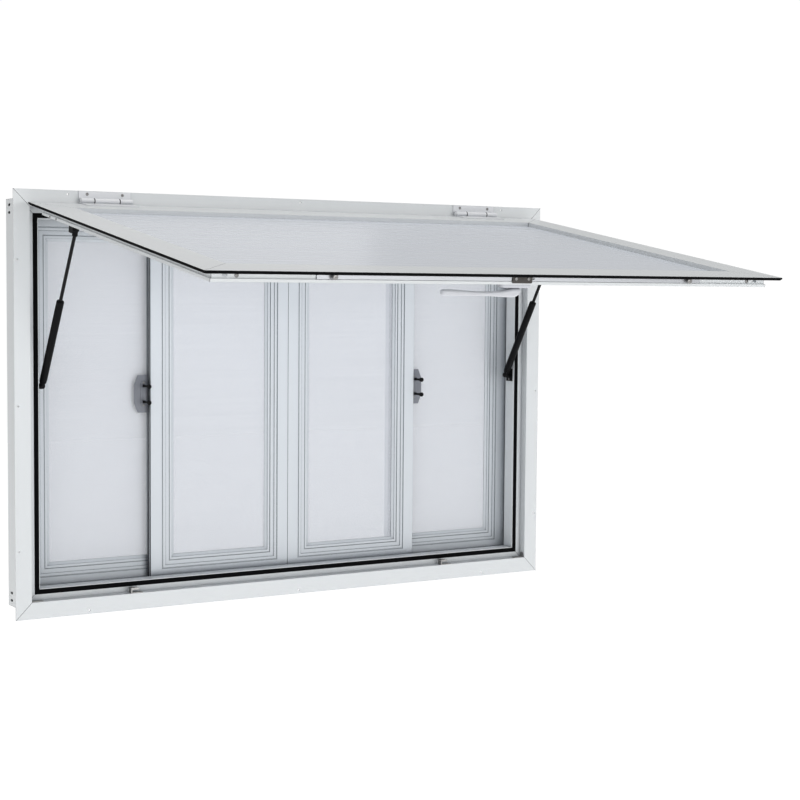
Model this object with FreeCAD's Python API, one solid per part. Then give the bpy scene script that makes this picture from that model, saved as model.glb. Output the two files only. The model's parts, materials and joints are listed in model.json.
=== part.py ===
"""Serving window: a mitred aluminium frame with a wall flange, a top-hung awning sash on two
hinges and two gas struts, a lever-driven two-point lock and four sliding insect-screen sashes.

Millimetres.  X runs to the right, Y into the wall, Z up.  The origin is the centre of the wall
flange's back face.  The awning and its lock are modelled shut and then swung open about the
hinge axis, so that the stored pose is the open window.
"""
import FreeCAD, Part
import math
import os

V = FreeCAD.Vector

# ---------------------------------------------------------------- outer frame
flange_width = 1524.0         # over the wall flange
flange_height = 1016.0
flange_face = 40.0            # width of the flange seen from the front
flange_thick = 3.0
flange_lap = 20.0             # flange that laps the wall outside the body
frame_wall = 2.5
ledge_width = 28.0
pocket_start = 57.0           # depth where the sash pocket begins
pocket_depth = 18.0           # pocket cut back behind the jamb face
back_clear = 6.0              # rear sash to the body's back face
reveal_rib = 1.5              # rib's height on the reveal
rib_width = 2.0
rib_before_ledge = 4.5        # gasket ledge to the rib's middle
gasket_offset = 15.0          # from the reveal to the gasket
gasket_width = 11.0
gasket_height = 3.0
key_leg = 90.0
key_start = 7.0               # from the pocket's front to the corner key
key_thick = 12.0
screw_inset = 9.0             # wall screws, from the flange edge
screw_hole_r = 2.5
screw_end_head = 134.0        # last wall screw, from the end of the head
screw_end_sill = 185.0
screw_end_side = 164.0
drain_r = 3.0                 # slots in the body's sides near its corners
drain_length = 10.0
drain_depth = 83.0            # from the flange's back face
drain_steps = (14.0, 32.0)    # from the body's corner
corner_toe = 30.0             # corner bracket along the sill
corner_rise = 13.0
corner_plate = 2.0

# ---------------------------------------------------------------- screen sashes
sash_gap_meeting = 0.5        # each front sash's clearance to the centre line
sash_clear_jamb = 3.0
sash_clear_head = 3.0
sash_depth = 18.0
sash_clear_front = 3.0
sash_row_gap = 3.0
stile_flat = 30.0             # flat face of a stile
stile_width = 65.0            # flat face and stepped bead
bead_lip = 13.0               # bead beyond the stile's tube
sash_overlap = 66.5           # front sash over rear sash
screen_thick = 0.6
spline_size = 4.0
glide_length = 40.0
glide_clear = 0.2
track_base = 1.5
track_rib = 14.0

# ---------------------------------------------------------------- awning sash
lip_overlap = 9.5             # lip over the flange's inner edge
lip_overhang = 25.0           # lip beyond the rail's outer wall
border_width = 85.0           # mitred border seen on the outside
plate_thick = 2.0
rail_depth = 26.0             # outer face to the inner lip
rail_wall = 2.5
recess_depth = 10.0           # border down to the panel
panel_thick = 3.0
seal_height = 5.0
seal_width = 7.0
seal_inset = 1.5
running_gap = 0.3             # seal to flange when shut
inner_lip = 13.0              # inner lip's reach from the outer wall
strut_channel_clear = 0.5     # web behind the strut channel to the strut's tube
groove_top = 7.0              # lock groove, measured from the outer face
groove_width = 12.5
groove_depth = 3.0
open_angle = 80.0
awning_key_leg = 70.0
awning_key_thick = 5.0
plug_inset = 112.0            # flange edge to the plug in the front rail's groove
plug_r = 4.5
slot_inset = 87.0             # flange edge to the slot in the groove
slot_half = 3.0
slot_r = 2.5
side_screw_drops = (78.0, 118.0)
side_screw_r = 2.6

# ---------------------------------------------------------------- hinges
hinge_inset = 227.0           # flange edge to the hinge's middle
hinge_length = 132.0
barrel_r = 6.5
pin_r = 3.0
middle_knuckle = 63.0
washer_thick = 1.5
leaf_thick = 2.2
fixed_leaf_height = 19.0
moving_leaf_reach = 42.0
hinge_screw_x = 45.0
hinge_screw_r = 3.6
hinge_screw_drop = 7.0        # from the leaf's top edge
pin_head = 1.6

# ---------------------------------------------------------------- gas struts
strut_side_gap = 15.0         # jamb face to the strut's centre line
strut_foot_back = 19.0        # gasket ledge to the lower pivot
strut_foot_drop = 440.0       # hinge axis to the lower pivot
strut_head_s = 180.0          # hinge axis to the upper pivot, along the sash
strut_head_out = 10.5         # rail's inner face to the upper pivot
tube_r = 9.0
tube_bore_r = 7.6
tube_end = 239.0              # lower pivot to the tube's mouth
gland_length = 10.0
rod_r = 4.0
rod_length = 226.0
fit_gap = 0.05                # radial running clearance
ball_r = 5.0
socket_r = 7.0
stud_r = 3.0

# ---------------------------------------------------------------- lock and handle
lock_x = 15.0                 # centre of the lock along the rail
bar_inset = 270.0             # flange edge to the bar's end, with the lock central
bar_thick = 2.2
bar_play = 0.6
bar_lift = 0.4                # groove floor to the bar
cam_inset = 307.0             # flange edge to a cam, with the lock central
cam_r = 4.0
cam_head_r = 6.0
cam_length = 9.5
bar_travel = 14.0             # for a quarter turn of the lever
gear_teeth = 16
gear_width = 8.4
gear_centre_v = 13.0
gear_clear = 2.1              # gear's pitch circle to the web
tenon_offset = 50.0           # lock's centre to the tenon that joins rack and bar
tenon_half = 5.0
rack_end = 10.0               # rack beyond the tenon
rack_spare = 16.0             # rack beyond the bar's travel
plate_half = 25.5
plate_screw_x = 16.0
plate_screw_r = 1.6
plate_screw_head = 3.7
plate_tall = 19.0
gearbox_half = 48.0
gearbox_wall = 1.3
handle_base_half = 40.0
spindle_half = 3.5            # square spindle under the lever
spindle_reach = 22.0          # rail's inner face to the spindle's end
handle_base_tall = 10.0
handle_base_wide = 23.0
lever_length = 183.0
keep_offset = 12.0
keep_half = 16.0
keep_gap = 0.4                # cam to the keep's tongues

# ---------------------------------------------------------------- sash latches
latch_z = 16.0                # height of the latch's middle
latch_corner = (10.0, 24.0)   # cut corners of the plate
latch_pivot_back = 5.5        # plate to the levers' pins
latch_pin_r = 1.5
latch_half = 47.0
latch_reach = 37.0            # plate beyond the sash edge
latch_tuck = 30.0             # plate behind the sash
latch_thick = 1.5
lever_gap = 9.0
finger_size = 8.0
finger_length = 41.0
finger_pitch = 40.0

# ---------------------------------------------------------------- derived places
half_w = flange_width / 2
half_h = flange_height / 2
reveal_u = flange_face
jamb_u = reveal_u + ledge_width
pocket_u = jamb_u - pocket_depth
front_sash_y = pocket_start + sash_clear_front
rear_sash_y = front_sash_y + sash_depth + sash_row_gap
body_depth = rear_sash_y + sash_depth + back_clear

lip_front = -(flange_thick + running_gap + seal_height + plate_thick)
lip_half_w = half_w - reveal_u + lip_overlap
lip_half_h = half_h - reveal_u + lip_overlap
ledge_depth = lip_front + rail_depth + running_gap + gasket_height
rib_depth = ledge_depth - rib_before_ledge
axis_z = lip_half_h + barrel_r
axis_y = lip_front - barrel_r
hinge_x = half_w - hinge_inset

strut_x = half_w - jamb_u - strut_side_gap
strut_foot_y = ledge_depth + strut_foot_back
strut_foot_z = axis_z - strut_foot_drop
strut_head_v = rail_depth + strut_head_out
web_offset = lip_half_w - strut_x + tube_r + strut_channel_clear

groove_mid = groove_top + groove_width / 2
bar_half = half_w - bar_inset
cam_x = half_w - cam_inset
gear_r = bar_travel / math.radians(90)
spindle_top = rail_depth + spindle_reach
handle_u = web_offset - gear_r - gear_clear

sash_u = pocket_u + sash_clear_head
sash_half_h = half_h - sash_u
sash_width = (half_w - pocket_u - sash_clear_jamb + sash_overlap - sash_gap_meeting) / 2
sash_inner = {1: -(half_w - pocket_u - sash_clear_jamb), 2: -sash_gap_meeting - sash_width,
              3: sash_gap_meeting, 4: half_w - pocket_u - sash_clear_jamb - sash_width}

parts = {}


# ---------------------------------------------------------------- helpers
def box(x0, x1, y0, y1, z0, z1):
    return Part.makeBox(x1 - x0, y1 - y0, z1 - z0, V(x0, y0, z0))


def rod(start, end, radius):
    step = V(*end) - V(*start)
    return Part.makeCylinder(radius, step.Length, V(*start), step)


def prism(points, along):
    """A closed outline of 3-D points pushed along a vector."""
    wire = Part.makePolygon([V(*p) for p in points] + [V(*points[0])])
    return Part.Face(wire).extrude(V(*along))


def compound(solids):
    return Part.makeCompound(list(solids))


def mirror_x(shape):
    return shape.mirror(V(0, 0, 0), V(1, 0, 0))


def member(profile, side, reach_w, reach_h):
    """One mitred member of a rectangular ring.  The profile is (inset, depth) points."""
    level = side in ("bottom", "top")
    sign = -1 if side in ("bottom", "left") else 1
    long, across = (reach_w, reach_h) if level else (reach_h, reach_w)

    def place(along, inset, depth):
        offset = sign * (across - inset)
        return (along, depth, offset) if level else (offset, depth, along)

    run = (2 * long, 0, 0) if level else (0, 0, 2 * long)
    blank = prism([place(-long, inset, depth) for inset, depth in profile], run)
    insets = [inset for inset, depth in profile]
    depths = [depth for inset, depth in profile]
    reach = max(insets) + 1
    near, far = min(depths) - 1, max(depths) + 1
    corners = [(-long, 0), (long, 0), (long - reach, reach), (reach - long, reach)]
    mitre = prism([place(along, inset, near) for along, inset in corners], (0, far - near, 0))
    return blank.common(mitre)


SIDES = ("bottom", "top", "left", "right")


def ring(profile, reach_w, reach_h, hollow=None):
    """Four mitred members; a hollow outline is taken out of each."""
    members = {}
    for side in SIDES:
        solid = member(profile, side, reach_w, reach_h)
        if hollow:
            solid = solid.cut(member(hollow, side, reach_w, reach_h))
        members[side] = solid
    return members


def moved(shape, x=0.0, y=0.0, z=0.0):
    copy = shape.copy()
    copy.translate(V(x, y, z))
    return copy


def opened(shape):
    """Swings a piece of the awning from shut to open."""
    copy = shape.copy()
    copy.rotate(V(0, axis_y, axis_z), V(1, 0, 0), -open_angle)
    return copy


def lip_y(v):
    """Depth v below the awning's outer face, with the awning shut."""
    return lip_front + v


def lip_z(u):
    """Height of inset u from the awning's lower lip edge, with the awning shut."""
    return -lip_half_h + u


# ---------------------------------------------------------------- outer frame
def frame_members():
    rib_y0, rib_y1 = rib_depth - rib_width / 2, rib_depth + rib_width / 2
    outline = [(0, -flange_thick), (reveal_u, -flange_thick), (reveal_u, rib_y0),
               (reveal_u + reveal_rib, rib_y0), (reveal_u + reveal_rib, rib_y1),
               (reveal_u, rib_y1), (reveal_u, ledge_depth), (jamb_u, ledge_depth),
               (jamb_u, pocket_start), (pocket_u, pocket_start), (pocket_u, body_depth),
               (flange_lap, body_depth), (flange_lap, 0), (0, 0)]
    t = frame_wall
    hollow = [(flange_lap + t, 0), (reveal_u - t, 0), (reveal_u - t, ledge_depth + t),
              (jamb_u - t, ledge_depth + t), (jamb_u - t, pocket_start - t),
              (pocket_u - t, pocket_start - t), (pocket_u - t, body_depth - t),
              (flange_lap + t, body_depth - t)]
    members = ring(outline, half_w, half_h, hollow)
    hole_z = half_h - screw_inset
    hole_x = half_w - screw_inset
    places = []
    for level, end in ((hole_z, screw_end_head), (-hole_z, screw_end_sill)):
        places += [(x, level) for x in (end - half_w, 0, half_w - end)]
    for side in (-hole_x, hole_x):
        places += [(side, z) for z in (screw_end_side - half_h, 0, half_h - screw_end_side)]
    drills = compound(rod((x, -flange_thick - 1, z), (x, 1, z), screw_hole_r) for x, z in places)
    slots = []
    y0, y1 = drain_depth - drain_length / 2, drain_depth + drain_length / 2
    for side in (-1, 1):
        x0, x1 = (side * (half_w - flange_lap) + step for step in (-2 * frame_wall, 2 * frame_wall))
        for z in (end * (half_h - flange_lap - step) for end in (-1, 1) for step in drain_steps):
            ends = rod((x0, y0, z), (x1, y0, z), drain_r).fuse(rod((x0, y1, z), (x1, y1, z), drain_r))
            slots.append(ends.fuse(box(x0, x1, y0, y1, z - drain_r, z + drain_r)))
    parts["frame_sill"] = members["bottom"].cut(drills)
    parts["frame_head"] = members["top"].cut(drills)
    parts["frame_jamb_left"] = members["left"].cut(drills).cut(compound(slots))
    parts["frame_jamb_right"] = members["right"].cut(drills).cut(compound(slots))


def frame_fittings():
    inner = flange_lap + frame_wall
    outer = pocket_u - frame_wall
    y0 = pocket_start + key_start
    y1 = y0 + key_thick
    keys = []
    for side in (-1, 1):
        for end in (-1, 1):
            x0, x1, x2 = (side * (half_w - d) for d in (inner, outer, inner + key_leg))
            z0, z1, z2 = (end * (half_h - d) for d in (inner, outer, inner + key_leg))
            flat = box(min(x0, x2), max(x0, x2), y0, y1, min(z0, z1), max(z0, z1))
            upright = box(min(x0, x1), max(x0, x1), y0, y1, min(z0, z2), max(z0, z2))
            keys.append(flat.fuse(upright).removeSplitter())
    parts["frame_corner_keys"] = compound(keys)

    start = reveal_u + gasket_offset
    end = start + gasket_width
    top = ledge_depth - gasket_height
    bulb = [(start, ledge_depth), (end, ledge_depth), (end, top + 1), (end - 1.5, top),
            (start + 1.5, top), (start, top + 1)]
    parts["frame_gasket"] = compound(ring(bulb, half_w, half_h).values())

    brackets = []
    floor = -half_h + reveal_u
    y0, y1 = corner_plate, rib_depth - rib_width / 2 - 0.5
    for side in (-1, 1):
        wall = side * (half_w - reveal_u)
        toe, inner_face = wall - side * corner_toe, wall - side * corner_plate
        foot = box(min(wall, toe), max(wall, toe), y0, y1, floor, floor + corner_plate)
        rise = box(min(wall, inner_face), max(wall, inner_face), y0, y1, floor, floor + corner_rise)
        brackets.append(foot.fuse(rise).removeSplitter())
    parts["corner_brackets"] = compound(brackets)


def sash_tracks():
    low = pocket_u
    base = pocket_u + track_base
    top = low + track_rib
    y0 = pocket_start + 0.2
    mid = front_sash_y + sash_depth + 1.0
    back = rear_sash_y + sash_depth + 1.3
    comb = [(low, y0), (top, y0), (top, y0 + 1.5), (base, y0 + 1.5), (base, mid), (top, mid),
            (top, mid + 1), (base, mid + 1), (base, back), (top, back), (top, back + 1.5), (low, back + 1.5)]
    reach = half_w - pocket_u - 0.5
    for name, sign in (("sill_track", -1), ("head_track", 1)):
        points = [(-reach, y, sign * (half_h - u)) for u, y in comb]
        parts[name] = prism(points, (2 * reach, 0, 0))


# ---------------------------------------------------------------- screen sashes
def sash(number):
    rear = number in (1, 4)
    y = rear_sash_y if rear else front_sash_y
    x = sash_inner[number]
    f, w = stile_flat, stile_width
    rail_in = w - bead_lip
    outline = [(0, 0), (f, 0), (f, 1.5), (f + 3, 1.5), (f + 3, 0.5), (f + 9, 0.5), (f + 9, 2),
               (f + 20, 2), (f + 20, 3.5), (f + 22, 3.5), (f + 22, 2.5), (w - 7.5, 2.5), (w - 7.5, 4),
               (w, 7), (w, 8), (rail_in, 8), (rail_in, sash_depth), (0, sash_depth)]
    hollow = [(2, 5.5), (rail_in - 2, 5.5), (rail_in - 2, sash_depth - 2), (2, sash_depth - 2)]
    half = sash_width / 2
    place = dict(x=x + half, y=y)
    frame = ring(outline, half, sash_half_h, hollow)
    parts[f"sash_{number}_frame"] = moved(compound(frame.values()), **place)

    spline_u = rail_in + 1
    spline_y = 8 + screen_thick
    cord = [(spline_u, spline_y), (spline_u + spline_size, spline_y),
            (spline_u + spline_size, spline_y + spline_size - 1),
            (spline_u + spline_size - 1, spline_y + spline_size), (spline_u, spline_y + spline_size)]
    sheet_x, sheet_z = half - rail_in - 0.5, sash_half_h - rail_in - 0.5
    sheet = box(-sheet_x, sheet_x, 8, 8 + screen_thick, -sheet_z, sheet_z)
    pieces = [sheet] + list(ring(cord, half, sash_half_h).values())
    parts[f"sash_{number}_screen"] = moved(compound(pieces), **place)

    tall = sash_clear_head - track_base - glide_clear
    glides = []
    for end in (-1, 1):
        for side in (-1, 1):
            cx = side * (half - 70)
            z0, z1 = sorted((end * sash_half_h, end * (sash_half_h + tall)))
            glides.append(box(cx - glide_length / 2, cx + glide_length / 2, 3, sash_depth - 3, z0, z1))
    parts[f"sash_{number}_glides"] = moved(compound(glides), **place)


# ---------------------------------------------------------------- awning sash
def awning_rails():
    t = plate_thick
    wall_in = lip_overhang + rail_wall
    floor = lip_overhang + groove_depth
    g0, g1 = groove_top, groove_top + groove_width
    b = border_width
    seat = web_offset + 4
    web_foot = rail_depth - 6
    outline = [(0, 0), (b, 0), (b, recess_depth), (seat, recess_depth), (seat, recess_depth - t),
               (b - t, recess_depth - t), (b - t, t), (web_offset + t, t), (web_offset + t, web_foot),
               (web_offset, web_foot), (web_offset, t), (wall_in, t), (wall_in, g0 - t),
               (floor + rail_wall, g0 - t), (floor + rail_wall, g1 + t), (wall_in, g1 + t),
               (wall_in, rail_depth - t), (lip_overhang + inner_lip, rail_depth - t),
               (lip_overhang + inner_lip, rail_depth), (lip_overhang, rail_depth), (lip_overhang, g1),
               (floor, g1), (floor, g0), (lip_overhang, g0), (lip_overhang, t), (0, t)]
    rails = ring([(u, lip_y(v)) for u, v in outline], lip_half_w, lip_half_h)
    front = rails["bottom"]
    z_out, z_in = lip_z(lip_overhang), lip_z(floor + rail_wall)
    y_mid = lip_y(groove_mid)
    tools = [rod((x, y_mid, z_out), (x, y_mid, z_in), plate_screw_r)
             for x in (lock_x - plate_screw_x, lock_x + plate_screw_x)]
    x0 = lock_x - tenon_offset - tenon_half - bar_travel - 2
    x1 = lock_x - tenon_offset + tenon_half + 2
    tools.append(box(x0, x1, y_mid - 3.3, y_mid + 3.3, z_out, z_in))
    for x in (slot_inset - half_w, half_w - slot_inset):
        for end in (x - slot_half, x + slot_half):
            tools.append(rod((end, y_mid, z_out), (end, y_mid, z_in), slot_r))
        tools.append(box(x - slot_half, x + slot_half, y_mid - slot_r, y_mid + slot_r, z_out, z_in))
    parts["awning_rail_front"] = opened(front.cut(compound(tools)))
    parts["awning_rail_hinge"] = opened(rails["top"])
    parts["awning_rail_left"] = opened(rails["left"])
    parts["awning_rail_right"] = opened(rails["right"])


def awning_infill():
    edge = web_offset + plate_thick + 1
    x, z = lip_half_w - edge, lip_half_h - edge
    panel = box(-x, x, lip_y(recess_depth), lip_y(recess_depth + panel_thick), -z, z)
    parts["awning_panel"] = opened(panel)

    back = recess_depth + panel_thick
    u0, u1 = web_offset + plate_thick, border_width - 1
    bead = [(u0, back), (u1, back), (u1, back + 2), (u1 - 4, back + 7), (u0, back + 7)]
    parts["awning_beads"] = opened(compound(ring([(u, lip_y(v)) for u, v in bead],
                                                 lip_half_w, lip_half_h).values()))
    s0, s1 = seal_inset, seal_inset + seal_width
    t, h = plate_thick, plate_thick + seal_height
    bulb = [(s0, t), (s1, t), (s1, h - 1.5), (s1 - 1.5, h), (s0 + 1.5, h), (s0, h - 1.5)]
    parts["awning_seal"] = opened(compound(ring([(u, lip_y(v)) for u, v in bulb],
                                                lip_half_w, lip_half_h).values()))
    near, far = lip_overhang + groove_depth + rail_wall, web_offset
    keys = []
    for side in (-1, 1):
        for end in (-1, 1):
            x0, x1, x2 = (side * (lip_half_w - d) for d in (near, far, near + awning_key_leg))
            z0, z1, z2 = (end * (lip_half_h - d) for d in (near, far, near + awning_key_leg))
            y0, y1 = lip_y(plate_thick), lip_y(plate_thick + awning_key_thick)
            flat = box(min(x0, x2), max(x0, x2), y0, y1, min(z0, z1), max(z0, z1))
            upright = box(min(x0, x1), max(x0, x1), y0, y1, min(z0, z2), max(z0, z2))
            keys.append(flat.fuse(upright).removeSplitter())
    parts["awning_corner_keys"] = opened(compound(keys))


def awning_screws():
    """Plugs in the front rail's groove, and screws in the side rails near the hinge."""
    pieces = []
    y_mid = lip_y(groove_mid)
    z0, z1 = lip_z(lip_overhang + 0.6), lip_z(lip_overhang + groove_depth)
    y_low = lip_y(rail_depth - 3)
    for side in (-1, 1):
        x = side * (half_w - plug_inset)
        pieces.append(rod((x, y_mid, z0), (x, y_mid, z1), plug_r))
        x = side * (lip_half_w - lip_overhang)
        for drop in side_screw_drops:
            z = lip_half_h - drop
            pieces.append(rod((x + side * 1.4, y_low, z), (x, y_low, z), side_screw_r))
    parts["awning_screws"] = opened(compound(pieces))


# ---------------------------------------------------------------- hinges
def hinge_pieces():
    side_knuckle = (hinge_length - middle_knuckle) / 2
    fixed, moving, pins, washers, screws = [], [], [], [], []
    for side in (-1, 1):
        cx = side * hinge_x
        x0, x3 = cx - hinge_length / 2, cx + hinge_length / 2
        x1, x2 = x0 + side_knuckle, x3 - side_knuckle
        w = washer_thick
        bore = rod((x0 - 1, axis_y, axis_z), (x3 + 1, axis_y, axis_z), pin_r + fit_gap)

        web_z = axis_z + barrel_r - leaf_thick
        leaf = box(x0, x3, axis_y, -flange_thick, web_z, web_z + leaf_thick)
        leaf = leaf.cut(box(x1 - w, x2 + w, axis_y - 1, -flange_thick - 6, web_z - 1, web_z + leaf_thick + 1))
        top = web_z + fixed_leaf_height
        leaf = leaf.fuse(box(x0, x3, -flange_thick - leaf_thick, -flange_thick, web_z, top))
        for a, b in ((x0, x1 - w), (x2 + w, x3)):
            leaf = leaf.fuse(rod((a, axis_y, axis_z), (b, axis_y, axis_z), barrel_r))
        tight = rod((x0 - 1, axis_y, axis_z), (x3 + 1, axis_y, axis_z), pin_r)
        fixed.append(leaf.removeSplitter().cut(tight))

        plate_y = lip_front - leaf_thick
        flap = box(x1, x2, plate_y, lip_front, axis_z - moving_leaf_reach, axis_z)
        wide = box(x0, x3, plate_y, lip_front, axis_z - moving_leaf_reach, axis_z - barrel_r - 4)
        flap = flap.fuse(wide).fuse(rod((x1, axis_y, axis_z), (x2, axis_y, axis_z), barrel_r))
        moving.append(flap.removeSplitter().cut(bore))

        pin = rod((x0 - pin_head, axis_y, axis_z), (x3 + pin_head, axis_y, axis_z), pin_r)
        for a, b in ((x0 - pin_head, x0), (x3, x3 + pin_head)):
            pin = pin.fuse(rod((a, axis_y, axis_z), (b, axis_y, axis_z), pin_r + 2))
        pins.append(pin.removeSplitter())
        for a, b in ((x1 - w, x1), (x2, x2 + w)):
            washer = rod((a + 0.1, axis_y, axis_z), (b - 0.1, axis_y, axis_z), barrel_r - 0.4)
            washers.append(washer.cut(tight))
        z = web_z + fixed_leaf_height - hinge_screw_drop
        y = -flange_thick - leaf_thick
        for x in (cx - hinge_screw_x, cx + hinge_screw_x):
            screws.append(rod((x, y - 1.4, z), (x, y, z), hinge_screw_r))
    parts["hinge_leaves_fixed"] = compound(fixed)
    parts["hinge_leaves_moving"] = opened(compound(moving))
    parts["hinge_pins"] = compound(pins)
    parts["hinge_washers"] = compound(washers)
    return screws


# ---------------------------------------------------------------- gas struts
def strut_geometry():
    """Pivots of the left strut with the awning open and shut, as (y, z)."""
    shut = (lip_front + strut_head_v, axis_z - strut_head_s)
    turn = math.radians(-open_angle)
    dy, dz = shut[0] - axis_y, shut[1] - axis_z
    head = (axis_y + dy * math.cos(turn) - dz * math.sin(turn),
            axis_z + dy * math.sin(turn) + dz * math.cos(turn))
    foot = (strut_foot_y, strut_foot_z)

    def measure(point):
        y, z = point[0] - foot[0], point[1] - foot[1]
        return math.hypot(y, z), math.degrees(math.atan2(-y, z))

    long, tilt = measure(head)
    short, tilt_shut = measure(shut)
    return foot, head, long, tilt, short, tilt_shut


def strut_pieces():
    foot, head, long, tilt, short, tilt_shut = strut_geometry()
    print(f"strut open {long:.2f} at {tilt:.3f} deg, shut {short:.2f} at {tilt_shut:.3f} deg")
    turn = math.radians(open_angle)
    swing, stroke = math.radians(tilt - tilt_shut) / turn, (long - short) / 1000 / turn
    print(f"swing ratio {swing:.5f}, rod ratio {stroke:.6f}")
    print(f"foot {foot}, head ({head[0]:.2f}, {head[1]:.2f}), axis ({axis_y:.2f}, {axis_z:.2f})")

    def upright(shape):
        copy = shape.copy()
        copy.rotate(V(0, 0, 0), V(1, 0, 0), tilt)
        copy.translate(V(-strut_x, foot[0], foot[1]))
        return copy

    mouth = tube_end
    tube = rod((0, 0, 15), (0, 0, mouth), tube_r).cut(rod((0, 0, 18), (0, 0, mouth + 1), tube_bore_r))
    gland = rod((0, 0, mouth - gland_length), (0, 0, mouth), tube_bore_r).cut(
        rod((0, 0, mouth - gland_length - 1), (0, 0, mouth + 1), rod_r + fit_gap))
    shaft = rod((0, 0, long - rod_length), (0, 0, long - 6), rod_r).fuse(
        rod((0, 0, long - rod_length), (0, 0, long - rod_length + 8), tube_bore_r - fit_gap)).removeSplitter()

    def socket(z, reach):
        """A cup round a ball, with its mouth towards the jamb and a neck of the given reach."""
        cup = rod((-socket_r + 0.5, 0, z), (socket_r, 0, z), socket_r)
        neck = rod((0, 0, z), (0, 0, z + reach), 5.2)
        hollow = Part.makeSphere(ball_r + fit_gap, V(0, 0, z)).fuse(
            rod((-socket_r - 1, 0, z), (0, 0, z), ball_r - 0.9))
        return cup.fuse(neck).removeSplitter().cut(hollow)

    lower_socket = socket(0, 15)
    upper_socket = socket(long, -14).cut(rod((0, 0, long - 14.5), (0, 0, long - 6), rod_r))
    bracket_face = strut_x - (half_w - jamb_u)
    stud_end = -socket_r - 3
    ball_low = Part.makeSphere(ball_r, V(0, 0, 0)).fuse(
        rod((bracket_face, 0, 0), (0, 0, 0), stud_r)).removeSplitter()
    ball_high = Part.makeSphere(ball_r, V(0, 0, long)).fuse(
        rod((stud_end, 0, long), (0, 0, long), stud_r)).removeSplitter()

    left = {"strut_tube": compound([tube, gland]), "strut_rod": shaft,
            "strut_socket_lower": lower_socket, "strut_socket_upper": compound([upper_socket, ball_high])}
    for name, shape in left.items():
        placed = upright(shape)
        parts[name + "_left"] = placed
        parts[name + "_right"] = mirror_x(placed)

    base_x = -(half_w - jamb_u)
    plate = box(base_x, base_x + 2.5, foot[0] - 13, foot[0] + 13, foot[1] - 17, foot[1] + 17)
    ball = moved(ball_low, x=-strut_x, y=foot[0], z=foot[1]).cut(
        box(base_x - 20, base_x, foot[0] - 20, foot[0] + 20, foot[1] - 20, foot[1] + 20))
    lower = plate.fuse(ball).removeSplitter()
    parts["strut_brackets_lower"] = compound([lower, mirror_x(lower)])

    ear_x = -strut_x + stud_end - 0.5
    z_mid = axis_z - strut_head_s
    inner = lip_half_w - web_offset
    root = lip_y(plate_thick)
    ear = box(ear_x - 2.5, ear_x, root, lip_y(strut_head_v + 9), z_mid - 12, z_mid + 12)
    foot_plate = box(ear_x - 2.5, -inner, root, root + 2.2, z_mid - 20, z_mid + 20)
    ear = ear.fuse(foot_plate).removeSplitter()
    parts["strut_brackets_upper"] = opened(compound([ear, mirror_x(ear)]))
    return [rod((side * (half_w - jamb_u - 2.5), foot[0], foot[1] + dz),
                (side * (half_w - jamb_u - 4.2), foot[0], foot[1] + dz), 3)
            for side in (-1, 1) for dz in (-11.5, 11.5)]


# ---------------------------------------------------------------- lock
def gear_outline(teeth, pitch_r, slack):
    """Points of an involute gear with 20 degree teeth, thinned by slack."""
    module = 2 * pitch_r / teeth
    base_r = pitch_r * math.cos(math.radians(20))
    tip_r, root_r = pitch_r + 0.9 * module, pitch_r - 1.2 * module
    half_pitch = math.pi / (2 * teeth) - slack / (2 * pitch_r)

    def involute(radius):
        reach = math.sqrt(max(0.0, (radius / base_r) ** 2 - 1))
        return reach - math.atan(reach)

    at_pitch = involute(pitch_r)
    flank = []
    for step in range(6):
        radius = max(base_r, root_r) + (tip_r - max(base_r, root_r)) * step / 5
        flank.append((radius, half_pitch + at_pitch - involute(radius)))
    flank = [(root_r, flank[0][1])] + flank
    points = []
    for tooth in range(teeth):
        centre = 2 * math.pi * tooth / teeth
        points += [(r, centre - a) for r, a in flank]
        points += [(r, centre + a) for r, a in reversed(flank)]
    return [(r * math.cos(a), r * math.sin(a)) for r, a in points]


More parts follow.
